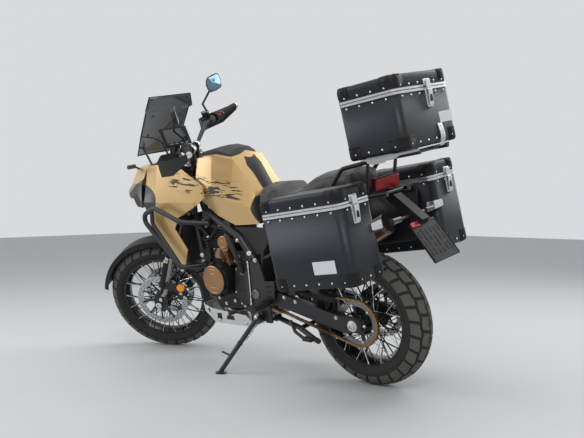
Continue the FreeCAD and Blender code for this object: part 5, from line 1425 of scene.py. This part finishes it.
inner_tube = surface("fork_inner_tube", (0.34, 0.335, 0.33), (0.46, 0.455, 0.45), 0.22, 900.0,
                     0.00001, metal=0.85)
tubes, seals, caps, guards, flashes, flash_tips = [], [], [], [], [], []
guard_turn = np.radians(np.linspace(-70, 62, 16))
for side in (fork_side, -fork_side):
    sign = math.copysign(1, side)
    tubes.append(turned_bar(on_fork(62, fork_ahead, side), on_fork(329, fork_ahead, side),
                            [(0, 21), (0.001, 21.5), (0.999, 21.5), (1, 21)], 40))
    seals.append(turned_bar(on_fork(318, fork_ahead, side), on_fork(352, fork_ahead, side),
                            [(0, 22), (0.02, 27), (0.25, 30), (0.3, 29.4), (0.34, 30.6),
                             (0.96, 30.6), (1, 29.2)], 40))
    seals.append(turned_bar(on_fork(640, fork_ahead, side), on_fork(650, fork_ahead, side),
                            [(0, 29.2), (0.1, 30.4), (0.9, 30.4), (1, 29.2)], 40))
    caps.append(turned_bar(on_fork(880, fork_ahead, side), on_fork(892, fork_ahead, side),
                           [(0, 27), (0.3, 27), (0.34, 22), (0.8, 21), (0.9, 14), (0.6, 13),
                            (0.6, 0.1)], 30))
    leg = []
    for height, wide, swell in ((70, 0.72, 3), (96, 0.9, 1), (180, 1.0, 0), (300, 1.0, 0),
                                (330, 0.95, 2), (352, 0.7, 4)):
        turn = guard_turn * wide
        out, ahead = np.sin(turn + 0.55) * sign, np.cos(turn + 0.55)
        reach = 35.0 + swell
        leg.append(on_fork(height, fork_ahead, side)[None] + axis_ahead * (ahead * reach)[:, None]
                   + np.stack([np.zeros(16), out * reach, np.zeros(16)], -1))
    guards.append(web(np.stack(leg)))
    for shapes, low in ((flashes, 306), (flash_tips, 288)):
        strip = []
        for height in (low, low + 15):
            turn = np.radians(np.linspace(20, 58, 7)) + 0.55
            strip.append(on_fork(height, fork_ahead, side)[None]
                         + axis_ahead * (np.cos(turn) * 36.6)[:, None]
                         + np.stack([np.zeros(7), np.sin(turn) * 36.6 * sign,
                                     np.zeros(7)], -1))
        shapes.append(web(np.stack(strip)))
put("fork_inner_tubes", joined(tubes), steered, "steering", inner_tube)
put("fork_seals", joined(seals), steered, "steering", soft_rubber, crease=30)
put("fork_caps", joined(caps), steered, "steering", bright_steel, crease=30)
put("fork_guards", joined(guards), steered, "steering", black_moulding,
    wall=2.6, bevel=0.8)
put("guard_flash", joined(flashes), steered, "steering", pale_plate, wall=0.4)
yellow_flash = surface("yellow_reflector", (0.85, 0.50, 0.02), (0.95, 0.62, 0.05), 0.3, 900.0,
                       0.00004)
put("guard_flash_tips", joined(flash_tips), steered, "steering", yellow_flash,
    wall=0.4)

reflector_disc = lathed([(0, 21), (5, 22.5), (8, 22.5), (9.5, 21), (9.5, 19.2), (11, 17),
                         (11.8, 8), (12, 0.1)], 30)
stalks, discs_out = [], []
for sign in (1, -1):
    stalks.append(extruded(softened([(1398, 470), (1404, 428), (1310, 404), (1286, 412),
                                     (1290, 438), (1360, 462)], 8, 4),
                           sign * 128, sign * 131))
    points, faces = about_hub(reflector_disc, 1296, 424)
    discs_out.append((points * (1, sign, 1) + (0, sign * 131, 0), faces))
put("reflector_stays", joined(stalks), steered, "steering", satin_black,
    bevel=0.6)
put("side_reflectors", joined(discs_out), steered, "steering", orange_lens,
    crease=30)

front_bolts = []
for side, names, size, places in (
        (1, ("front_calipers",), 6.5, ((1336, 430), (1320, 400), (1322, 372), (1352, 440),
                                       (1306, 346))),
        (1, ("fork",), 7.5, ((1470, 300), (1440, 360))),
        (-1, ("front_calipers",), 6.5, ((1336, 430), (1320, 400), (1322, 372),
                                        (1306, 346)))):
    spots, outs = seated(names, side, places, steered)
    if len(spots):
        front_bolts.append(copies((hex_head[0] * size / 1000, hex_head[1]), spots, outs))
for side in (1, -1):
    places = [on_fork(height, fork_ahead + 20, side * 134.5) for height in (112, 292)]
    front_bolts.append(tuple((steered(points), faces) for points, faces in [
        copies((hex_head[0] * 6.5, hex_head[1]), places, [(0.2, side, 0)] * 2)])[0])
    end = on_fork(0, 26, side * 128)
    front_bolts.append(tuple((steered(points), faces) for points, faces in [
        copies(lathed([(0, 17), (2, 18.5), (9, 18.5), (11, 16), (11, 9.5), (2, 9)], 24),
               [(wheelbase, side * 127, front_radius)], [(0, side, 0)])])[0])
put("front_bolts", joined(front_bolts), None, "steering", bright_steel,
    crease=30)

# Brake lines: each is clipped flat behind its fork leg, from the lower yoke to the caliper.

lines, line_clips = [], []
for side in (1, -1):
    path = curved([on_fork(668, -6, side * 96), on_fork(600, -8, side * 112),
                   on_fork(480, -4, side * 116), on_fork(360, -2, side * 116),
                   on_fork(250, -6, side * 112), on_fork(150, -30, side * 104),
                   on_fork(112, -50, side * 96)], 8)
    lines.append(swept(path, ring(3.6, 8)))
    line_clips.append(copies(lathed([(-6, 3.8), (-6, 6.2), (6, 6.2), (6, 3.8)], 12),
                             path[[12, 22, 32]], np.gradient(path, axis=0)[[12, 22, 32]]))
put("brake_lines", joined(lines), steered, "steering", soft_rubber)
put("brake_line_clips", joined(line_clips), steered, "steering", grey_alloy,
    crease=30)

# Handlebar: ribbed rubber grips with a flange, two-part switch boxes with red buttons, a
# fluid cup with a screwed cap on the right, silver clamps, and a bolt at each bar end.

bar_tip, bar_turn = np.array((902.0, 428.0, 1255.0)), np.array((1008.0, 180.0, 1246.0))
bar_in = unit(bar_turn - bar_tip)


def on_bar(distance, lift=(0, 0, 0), side=1):
    """A point of the bar's outer run, measured inwards from its tip; the right is a mirror."""
    return (bar_tip + bar_in * distance + np.array(lift, float)) * (1, side, 1)


grips, boxes, box_bands, buttons, red_buttons, clamps, bar_ends = [], [], [], [], [], [], []
grip_profile = [(0.0, 15.5), (0.004, 18.4)]
for step in np.linspace(0.03, 0.86, 26):
    grip_profile += [(step, 18.6), (step + 0.012, 17.3), (step + 0.024, 17.3)]
grip_profile += [(0.92, 18.6), (0.93, 23.5), (0.965, 24.2), (0.985, 23.0), (1.0, 16.0)]
for side in (1, -1):
    grips.append(turned_bar(on_bar(0.4, side=side), on_bar(132, side=side), grip_profile, 24))
    boxes.append(turned_bar(on_bar(136, (2, 0, 0), side), on_bar(183, (2, 0, 0), side),
                            [(0, 20), (0.04, 25.5), (0.45, 26.5), (0.46, 25.6), (0.5, 25.6),
                             (0.51, 26.5), (0.94, 25), (1, 19)], 10))
    box_bands.append(turned_bar(on_bar(198, side=side), on_bar(226, side=side),
                                [(0, 12), (0.02, 17.5), (0.98, 17.5), (1, 12)], 20))
    for distance, lift in ((144, (-25, 0, 6)), (158, (-22, 0, 15)), (172, (-24, 0, 8))):
        buttons.append(turned_bar(on_bar(distance, lift, side),
                                  on_bar(distance, np.array(lift) * 1.22, side),
                                  [(0, 5.5), (0.8, 5.2), (1, 4.2), (1, 0.1)], 12))
    clamps.append(turned_bar((1038, side * 24, 1172), (1038, side * 54, 1172),
                             [(0, 12), (0.01, 22), (0.1, 23.5), (0.9, 23.5), (0.99, 22),
                              (1, 12)], 24))
    bar_ends.append(turned_bar(on_bar(-1, side=side), on_bar(-24, side=side),
                               [(0, 16.2), (0.7, 16.2), (0.8, 14), (0.8, 9), (0.84, 9.4),
                                (1.0, 8.8), (1.0, 4.4), (0.86, 4)], 24))
for distance, lift in ((151, (-24, 0, 13)), (183, (-22, 0, 10))):
    red_buttons.append(turned_bar(on_bar(distance, lift, -1),
                                  on_bar(distance, np.array(lift) * 1.32, -1),
                                  [(0, 8), (0.6, 7.6), (1, 6.0), (1, 0.1)], 14))
put("grips", joined(grips), steered, "steering", soft_rubber, crease=50)
put("switch_boxes", joined(boxes), steered, "steering", black_moulding,
    bevel=1.2)
put("lever_clamps", joined(box_bands), steered, "steering", satin_black,
    crease=30)
put("switch_buttons", joined(buttons), steered, "steering", grey_alloy,
    crease=30)
put("red_switches", joined(red_buttons), steered, "steering", red_lens, crease=30)
put("bar_clamps", joined(clamps), steered, "steering", satin_silver,
    crease=30)
put("bar_end_bolts", joined(bar_ends), steered, "steering", bright_steel,
    crease=30)
cup_foot = on_bar(214, (26, 0, 16), -1)
put("fluid_cup", joined([
    turned_bar(cup_foot, cup_foot + (0, 0, 30), [(0, 12), (0.2, 19), (0.9, 21), (1, 21),
                                                  (1, 0.1)], 24),
    turned_bar(on_bar(214, (0, 0, 4), -1), cup_foot + (0, 0, 6), [(0, 9), (1, 9)], 12)]),
    steered, "steering", black_moulding, crease=30)
put("fluid_cap", turned_bar(cup_foot + (0, 0, 30), cup_foot + (0, 0, 37),
                            [(0, 22.4), (0.8, 22.4), (1, 20), (1, 0.1)], 28),
    steered, "steering", grey_alloy, crease=30)
for name, radius, offset, stop in (("left_loom", 4.2, 0, 1), ("right_loom", 4.2, 0, -1)):
    path = curved([on_bar(188, (-4, 0, -15), stop), on_bar(250, (0, 0, -13), stop),
                   np.array((1030, 92 * stop, 1172 + 20)) - (0, 0, 10),
                   np.array((1052, 58 * stop, 1150)), np.array((1058, 34 * stop, 1128))], 8)
    put(name, swept(path, ring(radius, 10)), steered, "steering", soft_rubber)
put("key_lock", turned_bar(on_fork(866, 20, 0), on_fork(884, 20, 0),
                           [(0, 19), (0.8, 19), (1, 16), (1, 6), (0.85, 5.5), (0.85, 0.1)], 26),
    steered, "steering", grey_alloy, crease=30)

# Mirrors: black moulded heads with a soft edge, each with a pale tinted glass set in.

mirror_turn = math.radians(20)
glass_outline = softened([(-57, -34), (57, -34), (62, 9), (47, 43), (-47, 43), (-62, 9)], 15, 6)
glass_rows = []
for depth, inset in ((1.0, 1.0), (-0.6, 1.0), (-1.4, 0.97), (-1.6, 0.0)):
    glass_rows.append(np.stack([np.full(len(glass_outline), depth),
                                glass_outline[:, 0] * inset,
                                glass_outline[:, 1] * inset + 2 * (1 - inset)], -1))
points, faces = web(np.stack(glass_rows), round_columns=True, capped=True)
swung = np.stack([points[:, 0] * math.cos(mirror_turn) - points[:, 1] * math.sin(mirror_turn),
                  points[:, 0] * math.sin(mirror_turn) + points[:, 1] * math.cos(mirror_turn),
                  points[:, 2]], -1) + (948, 325, 1424)
put("mirror_glasses", joined([(swung, faces), (swung * (1, -1, 1), faces)]), steered,
    "steering", mirror_glass, crease=30)
eased("mirror_heads", "mirrors", "steering", black_moulding, crease=32,
      edge=2.0)
eased("hand_blades", "handguards", "steering", charcoal, crease=40, edge=1.0)

# Windscreen: one smoked sheet, bowed across and stepped out near its top, with a dark
# rolled rim and four screws on rubber washers that hold it to its two stays.

screen_rows = np.array([(1405, 1150, 112, 46), (1304, 1259, 148, 46), (1224, 1384, 152, 34),
                        (1208, 1392, 164, 32), (1187, 1458, 145, 14)], float)


def screen_sheet(inset=0.0, thick=0.0):
    """Rows of edge place, height, half width and bow, joined by straight runs upwards; across,
    the sheet follows a parabola: it stands ahead of its edges by the bow times one less the
    square of the share of the half width."""
    steps = np.concatenate([np.linspace(n, n + 1, 7)[:-1] for n in range(4)] + [[4.0]])
    edge, height, half, bow = (np.interp(steps, range(5), screen_rows[:, n]) for n in range(4))
    share = np.linspace(-1, 1, 25)
    y = share[None] * (half[:, None] - inset)
    x = edge[:, None] + bow[:, None] * (1 - share[None] ** 2) + thick
    return np.stack([x, y, np.broadcast_to(height[:, None], x.shape)], -1)


sheet_points = screen_sheet()
screen_piece = put("screen_sheet", web(sheet_points), chassis, "chassis", smoked_screen,
                   stands_for=("windscreen",), crease=24, wall=3.4)
around = np.concatenate([sheet_points[0], sheet_points[1:, -1], sheet_points[-1, -2::-1],
                         sheet_points[-2:0:-1, 0]]) + (-1.7, 0, 0)
put("screen_rim", swept(around, ring(2.4, 8), closed=True), chassis, "chassis",
    black_moulding)
screw_spots = [(1304 + 46 * (1 - (y / 148) ** 2) + 1, y, 1259) for y in (-74, 74)] + [
    (1240 + 37 * (1 - (y / 151) ** 2) + 1, y, 1359) for y in (-74, 74)]
put("screen_screws", copies(lathed([(-7, 9), (0, 9), (1.2, 8.4), (1.2, 6.2), (4.0, 5.6),
                                    (4.4, 3.2), (3.2, 2.6), (3.2, 0.1)], 20),
                            screw_spots, [(0.8, 0, 0.6)] * 4),
    chassis, "chassis", grey_alloy, crease=30)

# Dash: a tablet-shaped display in a black moulded bezel, and a row of keys under it.

dash_foot, dash_head = np.array((1166.0, 0, 1184.0)), np.array((1204.0, 0, 1286.0))
dash_up = unit(dash_head - dash_foot)
dash_out = np.array((-dash_up[2], 0, dash_up[0]))


def on_dash(outline, low, high):
    """An outline across and up the display's face, between two heights over that face."""
    points, faces = extruded(outline, low, high, 2)
    middle = (dash_foot + dash_head) / 2
    return (middle + points[:, :1] * (0, 1, 0) + points[:, 1:2] * dash_up
            + points[:, 2:] * dash_out), faces


def display_finish():
    """Dark glass: deep blue-grey, a soft lighter band across that is a painted reflection, and no
    figures on it.
    """
    made, shader_node, place = material("dash_display", Coat_Weight=0.9, Coat_Roughness=0.02,
                                        Roughness=0.12)
    cloud = noise(place, 8.0)
    # The soft lighter band across the glass is a painted reflection.
    band = (dotted(place, stance[:, 2]) - 0.89).wrapped(0.12) * 12
    linked(shader_node, Base_Color=(band * 0.6 + cloud * 0.4).colours(
        (0.010, 0.012, 0.016), (0.060, 0.066, 0.078)), Normal=bumped(place, cloud, 0.00001))
    return made


dash_display = display_finish()
half_w, half_h = 88.0, 50.0
bezel = [on_dash(softened([(-half_w, -half_h), (half_w, -half_h), (half_w, half_h),
                           (-half_w, half_h)], 16, 6), -0.2, 2.6)]
put("dash_bezel", joined(bezel), chassis, "chassis", black_moulding,
    bevel=1.0)
put("dash_glass", on_dash(softened([(-78, -34), (78, -34), (78, 42), (-78, 42)], 8, 5), 2.5,
                          3.3), chassis, "chassis", dash_display, bevel=0.3)
keys = [on_dash(softened([(x - 9, -46), (x + 9, -46), (x + 9, -39), (x - 9, -39)], 3, 4), 2.5,
                4.2) for x in (-54, -18, 18, 54)]
put("dash_keys", joined(keys), chassis, "chassis", grey_alloy, bevel=0.5)
eased("dash_back", "instrument_panel", "chassis", black_moulding, edge=3.0)

# Headlamp: two projector lenses in bright rings and a light bar under the beak, set in a
# dark moulded chin.

lamp_out = unit((0.77, 0, -0.64))
ring_shape = lathed([(-6, 28), (1, 29.5), (3, 28.5), (3, 25), (-4, 22)], 36)
bowl_shape = lathed([(-5, 24), (-3, 23.5), (2, 20), (6, 13), (8, 5), (8.2, 0.1)], 36)
lamp_spots = [(1536, 48, 881), (1536, -48, 881)]
put("lamp_rings", copies(ring_shape, lamp_spots, [lamp_out] * 2), chassis, "chassis",
    bright_steel, crease=30)
put("lamp_lenses", copies(bowl_shape, lamp_spots, [lamp_out] * 2), chassis, "chassis",
    lamp_glass, crease=30)


def glow_finish():
    """A white light bar behind frosted plastic, brighter where its diodes are."""
    made, shader_node, place = material("light_bar", Roughness=0.35, Coat_Weight=0.5,
                                        Emission_Strength=0.5)
    spots = dotted(place, stance[:, 1]).wrapped(0.009) / 0.0045
    linked(shader_node, Base_Color=spots.colours((0.70, 0.73, 0.76), (0.86, 0.88, 0.90)),
           Emission_Color=spots.colours((0.85, 0.90, 0.95), (0.60, 0.64, 0.70)),
           Normal=bumped(place, spots, 0.0002))
    return made


light_bar = glow_finish()
bar_path = curved([(1514, 66, 858), (1518, 34, 858), (1519, 0, 858), (1518, -34, 858),
                   (1514, -66, 858)], 8)
put("day_light_bar", swept(bar_path, softened([(-5, -2.2), (5, -2.2), (5, 2.2), (-5, 2.2)],
                                               1.5, 3), roll=lamp_out),
    chassis, "chassis", light_bar)
eased("lamp_chin", "headlamp", "chassis", charcoal, edge=2.0)

# Radiator: rows of thin louvres over a black core between two side tanks, with a round
# cap, and the fan's ring behind.

face_foot, face_head = np.array((1092.0, 0, 571.0)), np.array((1058.0, 0, 820.0))
louvre_up = unit(face_head - face_foot)
louvre_out = np.array((louvre_up[2], 0, -louvre_up[0]))
louvres = []
for share in np.linspace(0.06, 0.94, 46):
    spot = face_foot + (face_head - face_foot) * share
    rows = [spot + louvre_out * out + louvre_up * up for out, up in
            ((0.2, 0.0), (2.6, 1.2), (2.6, 2.2), (0.2, 1.4))]
    louvres.append(web(np.stack([np.array(rows) + (0, y, 0) for y in (-134, 134)]),
                       round_columns=True, capped=True))
put("radiator_louvres", joined(louvres), chassis, "chassis", core_black,
    crease=30)
tanks = []
for side in (1, -1):
    tanks.append(swept(np.array([face_foot + louvre_out * -14 + (0, side * 142, 0),
                                 face_head + louvre_out * -14 + (0, side * 142, 0)]),
                       softened([(-8, -18), (8, -18), (8, 18), (-8, 18)], 5, 4),
                       roll=louvre_out))
put("radiator_tanks", joined(tanks), chassis, "chassis", cast_black,
    bevel=1.0)
put("radiator_cap", turned_bar((1044, 112, 816), (1042, 112, 838),
                               [(0, 13), (0.45, 13), (0.46, 20), (0.8, 20), (1, 17), (1, 0.1)],
                               20), chassis, "chassis", grey_alloy, crease=30)

# Tail: a ribbed red lamp in a black bezel, a black plate carrier with a grid of slots and
# no number, and a red reflector bar on top of it.

eased("tail_lens", "tail_lamp", "chassis", red_lens, edge=2.2)
eased("plate_carrier", "plate_holder", "chassis", black_moulding, edge=1.6)
bezel_path = np.array([(-163, 91, 927), (-168, 91, 981), (-168, -91, 981), (-163, -91, 927)])
put("tail_lamp_bezel", swept(bezel_path, softened([(-2.6, -9), (2.6, -9), (2.6, 9), (-2.6, 9)],
                                                   1.5, 3), closed=True, roll=(1, 0, 0)),
    chassis, "chassis", black_moulding, crease=30)
plate_top, plate_down = np.array((-334.0, 0, 778.0)), unit((-113.0, 0, -152.0))
plate_out = unit((-8.0, 0, 5.95))


def on_carrier(outline, low, high):
    """An outline across and down the carrier, between two heights over its rear face."""
    points, faces = extruded(outline, low, high, 2)
    return (plate_top + points[:, :1] * (0, 1, 0) + points[:, 1:2] * plate_down
            + points[:, 2:] * plate_out), faces


# The carrier's slots are dark plates of painted shadow on its face.
slots = []
for column, rows in ((-74, ((30, 66), (76, 104), (116, 160))), (-44, ((34, 108), (120, 158))),
                     (-14, ((30, 58), (70, 128), (138, 160))),
                     (16, ((34, 92), (104, 124), (134, 160))),
                     (46, ((30, 110), (122, 160))), (74, ((36, 70), (82, 112), (122, 158)))):
    for start, end in rows:
        slots.append(on_carrier(softened([(column - 6, start), (column + 6, start),
                                          (column + 6, end), (column - 6, end)], 4, 4),
                                -0.5, 0.7))
put("carrier_slots", joined(slots), chassis, "chassis", dark_shadow)
rim = on_carrier(softened([(-96, 4), (96, 4), (96, 186), (-96, 186)], 8, 4), 0, 0)[0]
rim = rim[:len(rim) // 2]
put("carrier_rim", swept(rim, ring(2.4, 8), closed=True), chassis, "chassis", black_moulding)
put("rear_reflector", on_carrier(softened([(34, -10), (94, -10), (94, 14), (34, 14)], 5, 4),
                                 -1.0, 8.0), chassis, "chassis", red_lens,
    bevel=1.4)
put("plate_light", on_carrier(softened([(-22, -22), (22, -22), (22, -10), (-22, -10)], 4, 4),
                              -2.0, 14.0), chassis, "chassis", black_moulding,
    bevel=1.4)
eased("turn_lamps", "indicators", "chassis", amber_lens, edge=2.0, crease=40)

# Carrier plate under the top case: brushed silver sheet with rolled, wavy side rails.

eased("carrier_plate", "rack_plate", "chassis", satin_silver, edge=1.5)
top_centre = np.array(CASES[2][2], float)


def under_case(points):
    """Points of the top case's own tilted frame, set down on the machine."""
    x, y, z = np.asarray(points, float).T
    return chassis(np.stack([x * math.cos(case_tilt) + z * math.sin(case_tilt), y,
                             z * math.cos(case_tilt) - x * math.sin(case_tilt)], -1)
                   + top_centre)


wavy = [(150, -243), (150, -251), (120, -256), (98, -270), (30, -271), (14, -262), (-34, -262),
        (-54, -252), (-150, -250), (-150, -243)]
rails = [extruded(softened(wavy, 6, 4), side * 119, side * 122) for side in (1, -1)]
put("carrier_rails", joined(rails), under_case, "chassis", satin_silver)

# Swingarm end: a big silver axle nut on a washer, a block with its adjuster bolt, and a
# black guard over the upper chain run.

nut = lathed([(0, 25), (2.4, 26), (3, 19), (12, 19), (13, 16), (13, 11.5), (17, 11.5),
              (18, 10.4), (18, 7.4), (6, 7.2)], 6)
washer = lathed([(0, 25), (2.2, 26), (3, 24), (3, 12)], 30)
ends = []
for side, face in ((1, 142.0), (-1, 142.0)):
    for shape, out in ((washer, 0.0), (nut, 2.0)):
        ends.append(copies(shape, [(0, side * (face + out), rear_radius)], [(0, side, 0)]))
put("axle_nuts", joined(ends), chassis, "chassis", bright_steel, crease=30)
blocks, adjusters = [], []
for side in (1, -1):
    blocks.append(extruded(softened([(-42, 300), (-42, 342), (34, 342), (34, 300)], 8, 4),
                           side * 141.5, side * 144))
    adjusters.append(turned_bar((-47, side * 128, rear_radius), (-64, side * 128, rear_radius),
                                [(0, 5), (0.4, 5), (0.41, 9), (0.95, 9), (1, 7.6), (1, 0.1)],
                                6))
put("axle_blocks", joined(blocks), chassis, "chassis", satin_black, bevel=0.8)
put("axle_adjusters", joined(adjusters), chassis, "chassis", bright_steel,
    crease=30)
guard_path = curved([(470, 124, 496), (380, 124, 480), (250, 122, 462), (150, 120, 450),
                     (90, 118, 446)], 6)
put("chain_guard", swept(guard_path, softened([(-26, 0), (22, 0), (25, -22), (22, -22),
                                               (19, -3), (-26, -3)], 2, 3), roll=(0, 0, 1)),
    chassis, "chassis", black_moulding)
put("chain_guard_stays", joined([
    turned_bar((400, 128, 480), (400, 128, 440), [(0, 5), (1, 5)], 12),
    turned_bar((150, 126, 449), (150, 128, 384), [(0, 5), (1, 5)], 12)]),
    chassis, "chassis", black_moulding)

# Silencer: a brushed can with a cap ring, a dark outlet, and a bronze heat shield clipped
# round its outer half.

can_foot, can_top = np.array((392.0, -164, 512)), np.array((-40.0, -160, 735))
can_way = unit(can_top - can_foot)
can_length = np.linalg.norm(can_top - can_foot)
put("silencer_rings", turned_bar(can_foot, can_top + can_way * 3, [
    (0.0, 44), (0.001, 51.5), (0.05, 51.5), (0.052, 50.4), (0.93, 50.4), (0.932, 51.8),
    (0.985, 51.8), (1.0, 47), (1.0, 27), (0.985, 25), (0.985, 18.5)], 48),
    chassis, "chassis", can_steel, crease=28)
shield_side = unit(np.cross(can_way, (0, 1, 0)))
shield_turn = np.radians(np.linspace(-75, 75, 20))
shield_rows = []
for share, wide in ((0.36, 0.55), (0.40, 0.9), (0.46, 1.0), (0.86, 1.0), (0.91, 0.8)):
    turn = shield_turn * wide
    shield_rows.append(can_foot + can_way * can_length * share
                       + (np.cos(turn) * -55)[:, None] * np.array((0, 1.0, 0))
                       + (np.sin(turn) * 55)[:, None] * shield_side)
put("silencer_shield", web(np.stack(shield_rows)), chassis, "chassis", bronze_cast,
    wall=1.6, bevel=0.6)
shield_in = []
for share, wide in ((0.80, 0.7), (0.83, 1.0), (0.97, 1.0), (0.985, 0.9)):
    turn = np.radians(np.linspace(-62, 62, 14)) * wide
    shield_in.append(can_foot + can_way * can_length * share
                     + (np.cos(turn) * 54)[:, None] * np.array((0, 1.0, 0))
                     + (np.sin(turn) * 54)[:, None] * shield_side)
put("silencer_inner_shield", web(np.stack(shield_in)), chassis, "chassis", bronze_cast,
    wall=1.4)

# Shock: a coil spring of thick wire round the damper, between two collars.

shock_foot, shock_head = np.array((470.0, 0, 430)), np.array((503.0, 0, 714))
shock_way = unit(shock_head - shock_foot)
shock_side = np.array((shock_way[2], 0, -shock_way[0]))
coil_turn = np.linspace(0, 2 * math.pi * 8.5, 8 * 26)
coil = (shock_foot + shock_way * (38 + 195 * np.linspace(0, 1, len(coil_turn)))[:, None]
        + (np.cos(coil_turn) * 33)[:, None] * shock_side
        + (np.sin(coil_turn) * 33)[:, None] * np.array((0, 1.0, 0)))
put("shock_spring", swept(coil, ring(5.2, 8)), chassis, "chassis", bronze_cast)
put("shock_collars", joined([
    turned_bar(shock_foot + shock_way * 22, shock_foot + shock_way * 36,
               [(0, 30), (0.2, 40), (0.8, 40), (1, 34)], 32),
    turned_bar(shock_foot + shock_way * 236, shock_foot + shock_way * 252,
               [(0, 34), (0.2, 40), (0.8, 40), (1, 30)], 32)]),
    chassis, "chassis", satin_black, crease=30)

# Foot rests and stands: ribbed rubbers on the pegs, a coil spring and a ribbed foot on
# the side stand, and a rubber pad on the centre stand's lever.

rubbers = []
for side in (1, -1):
    for count, (x0, x1), (y0, y1), z in ((7, (504, 552), (166, 244), 394),
                                         (6, (251, 291), (130, 219), 486)):
        pitch = (y1 - y0) / count
        for step in range(count):
            y = y0 + pitch * step
            rubbers.append(extruded(softened([(x0, side * y), (x1, side * y),
                                              (x1, side * (y + pitch * 0.62)),
                                              (x0, side * (y + pitch * 0.62))], 2, 3),
                                    z - 0.5, z + 4.0, 2))
put("peg_rubbers", joined(rubbers), chassis, "chassis", soft_rubber,
    bevel=0.8)
stand_top = np.array((560.0, 180, 322))
floor_heights = chassis([(706, 340, 0), (706, 340, 1000)])[:, 2]
stand_foot = np.array((706, 340, 1000 * (0.012 - floor_heights[0]) / np.ptp(floor_heights)))
stand_run = unit(stand_foot - stand_top)
stand_out = unit(np.cross(stand_run, (1, 0, 0)))
coil_turn = np.linspace(0, 2 * math.pi * 15, 15 * 12)
coil = (stand_top + stand_out * 21 + stand_run * np.linspace(34, 128, len(coil_turn))[:, None]
        + (np.cos(coil_turn) * 5.6)[:, None] * stand_out
        + (np.sin(coil_turn) * 5.6)[:, None] * np.cross(stand_run, stand_out))
hooks = [swept(curved([stand_top + stand_out * 21 + stand_run * 34,
                       stand_top + stand_out * 18 + stand_run * 24,
                       stand_top + stand_out * 8 + stand_run * 22], 4), ring(1.6, 6)),
         swept(curved([stand_top + stand_out * 21 + stand_run * 128,
                       stand_top + stand_out * 18 + stand_run * 138,
                       stand_top + stand_out * 6 + stand_run * 142], 4), ring(1.6, 6))]
put("stand_spring", joined([swept(coil, ring(1.6, 6))] + hooks), chassis, "side_stand",
    bright_steel)
put("stand_pivot_bolt", turned_bar(stand_top + (0, 8, 0), stand_top + (0, 17, 0),
                                   [(0, 15), (0.2, 15), (0.21, 10), (0.9, 10), (1, 8.5),
                                    (1, 0.1)], 6),
    chassis, "side_stand", bright_steel, crease=30)
put("stand_collar", turned_bar(stand_top + stand_run * 150, stand_top + stand_run * 164,
                               [(0, 12.4), (0.1, 14.4), (0.9, 14.4), (1, 12.4)], 20),
    chassis, "side_stand", satin_black, crease=30)
lever_pad = [swept(np.array([(244, 206, 256), (186, 216, 258)], float),
                   softened([(-13, -9), (13, -9), (13, 9), (-13, 9)], 3, 3))]
put("centre_lever_pad", joined(lever_pad), chassis, "centre_stand", soft_rubber,
    bevel=1.0)

# Skid plate: its sheet keeps the solid's shape, with windows in both wings drawn as dark plates of
# painted shadow.

window_spots = (((880, 263), (914, 263), (914, 297), (880, 297)),
                ((784, 268), (846, 268), (840, 290), (792, 290)),
                ((966, 292), (980, 304), (984, 322), (968, 314)))
windows = [extruded(softened(list(spot), 3, 3), side * 127.6, side * 128.6)
           for side in (1, -1) for spot in window_spots]
put("skid_windows", joined(windows), chassis, "chassis", dark_shadow)
eased("skid_plate", "bash_plate", "chassis", satin_silver, edge=0.8)
# The visual model's box, round every shown piece but the floor.

low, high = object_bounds()
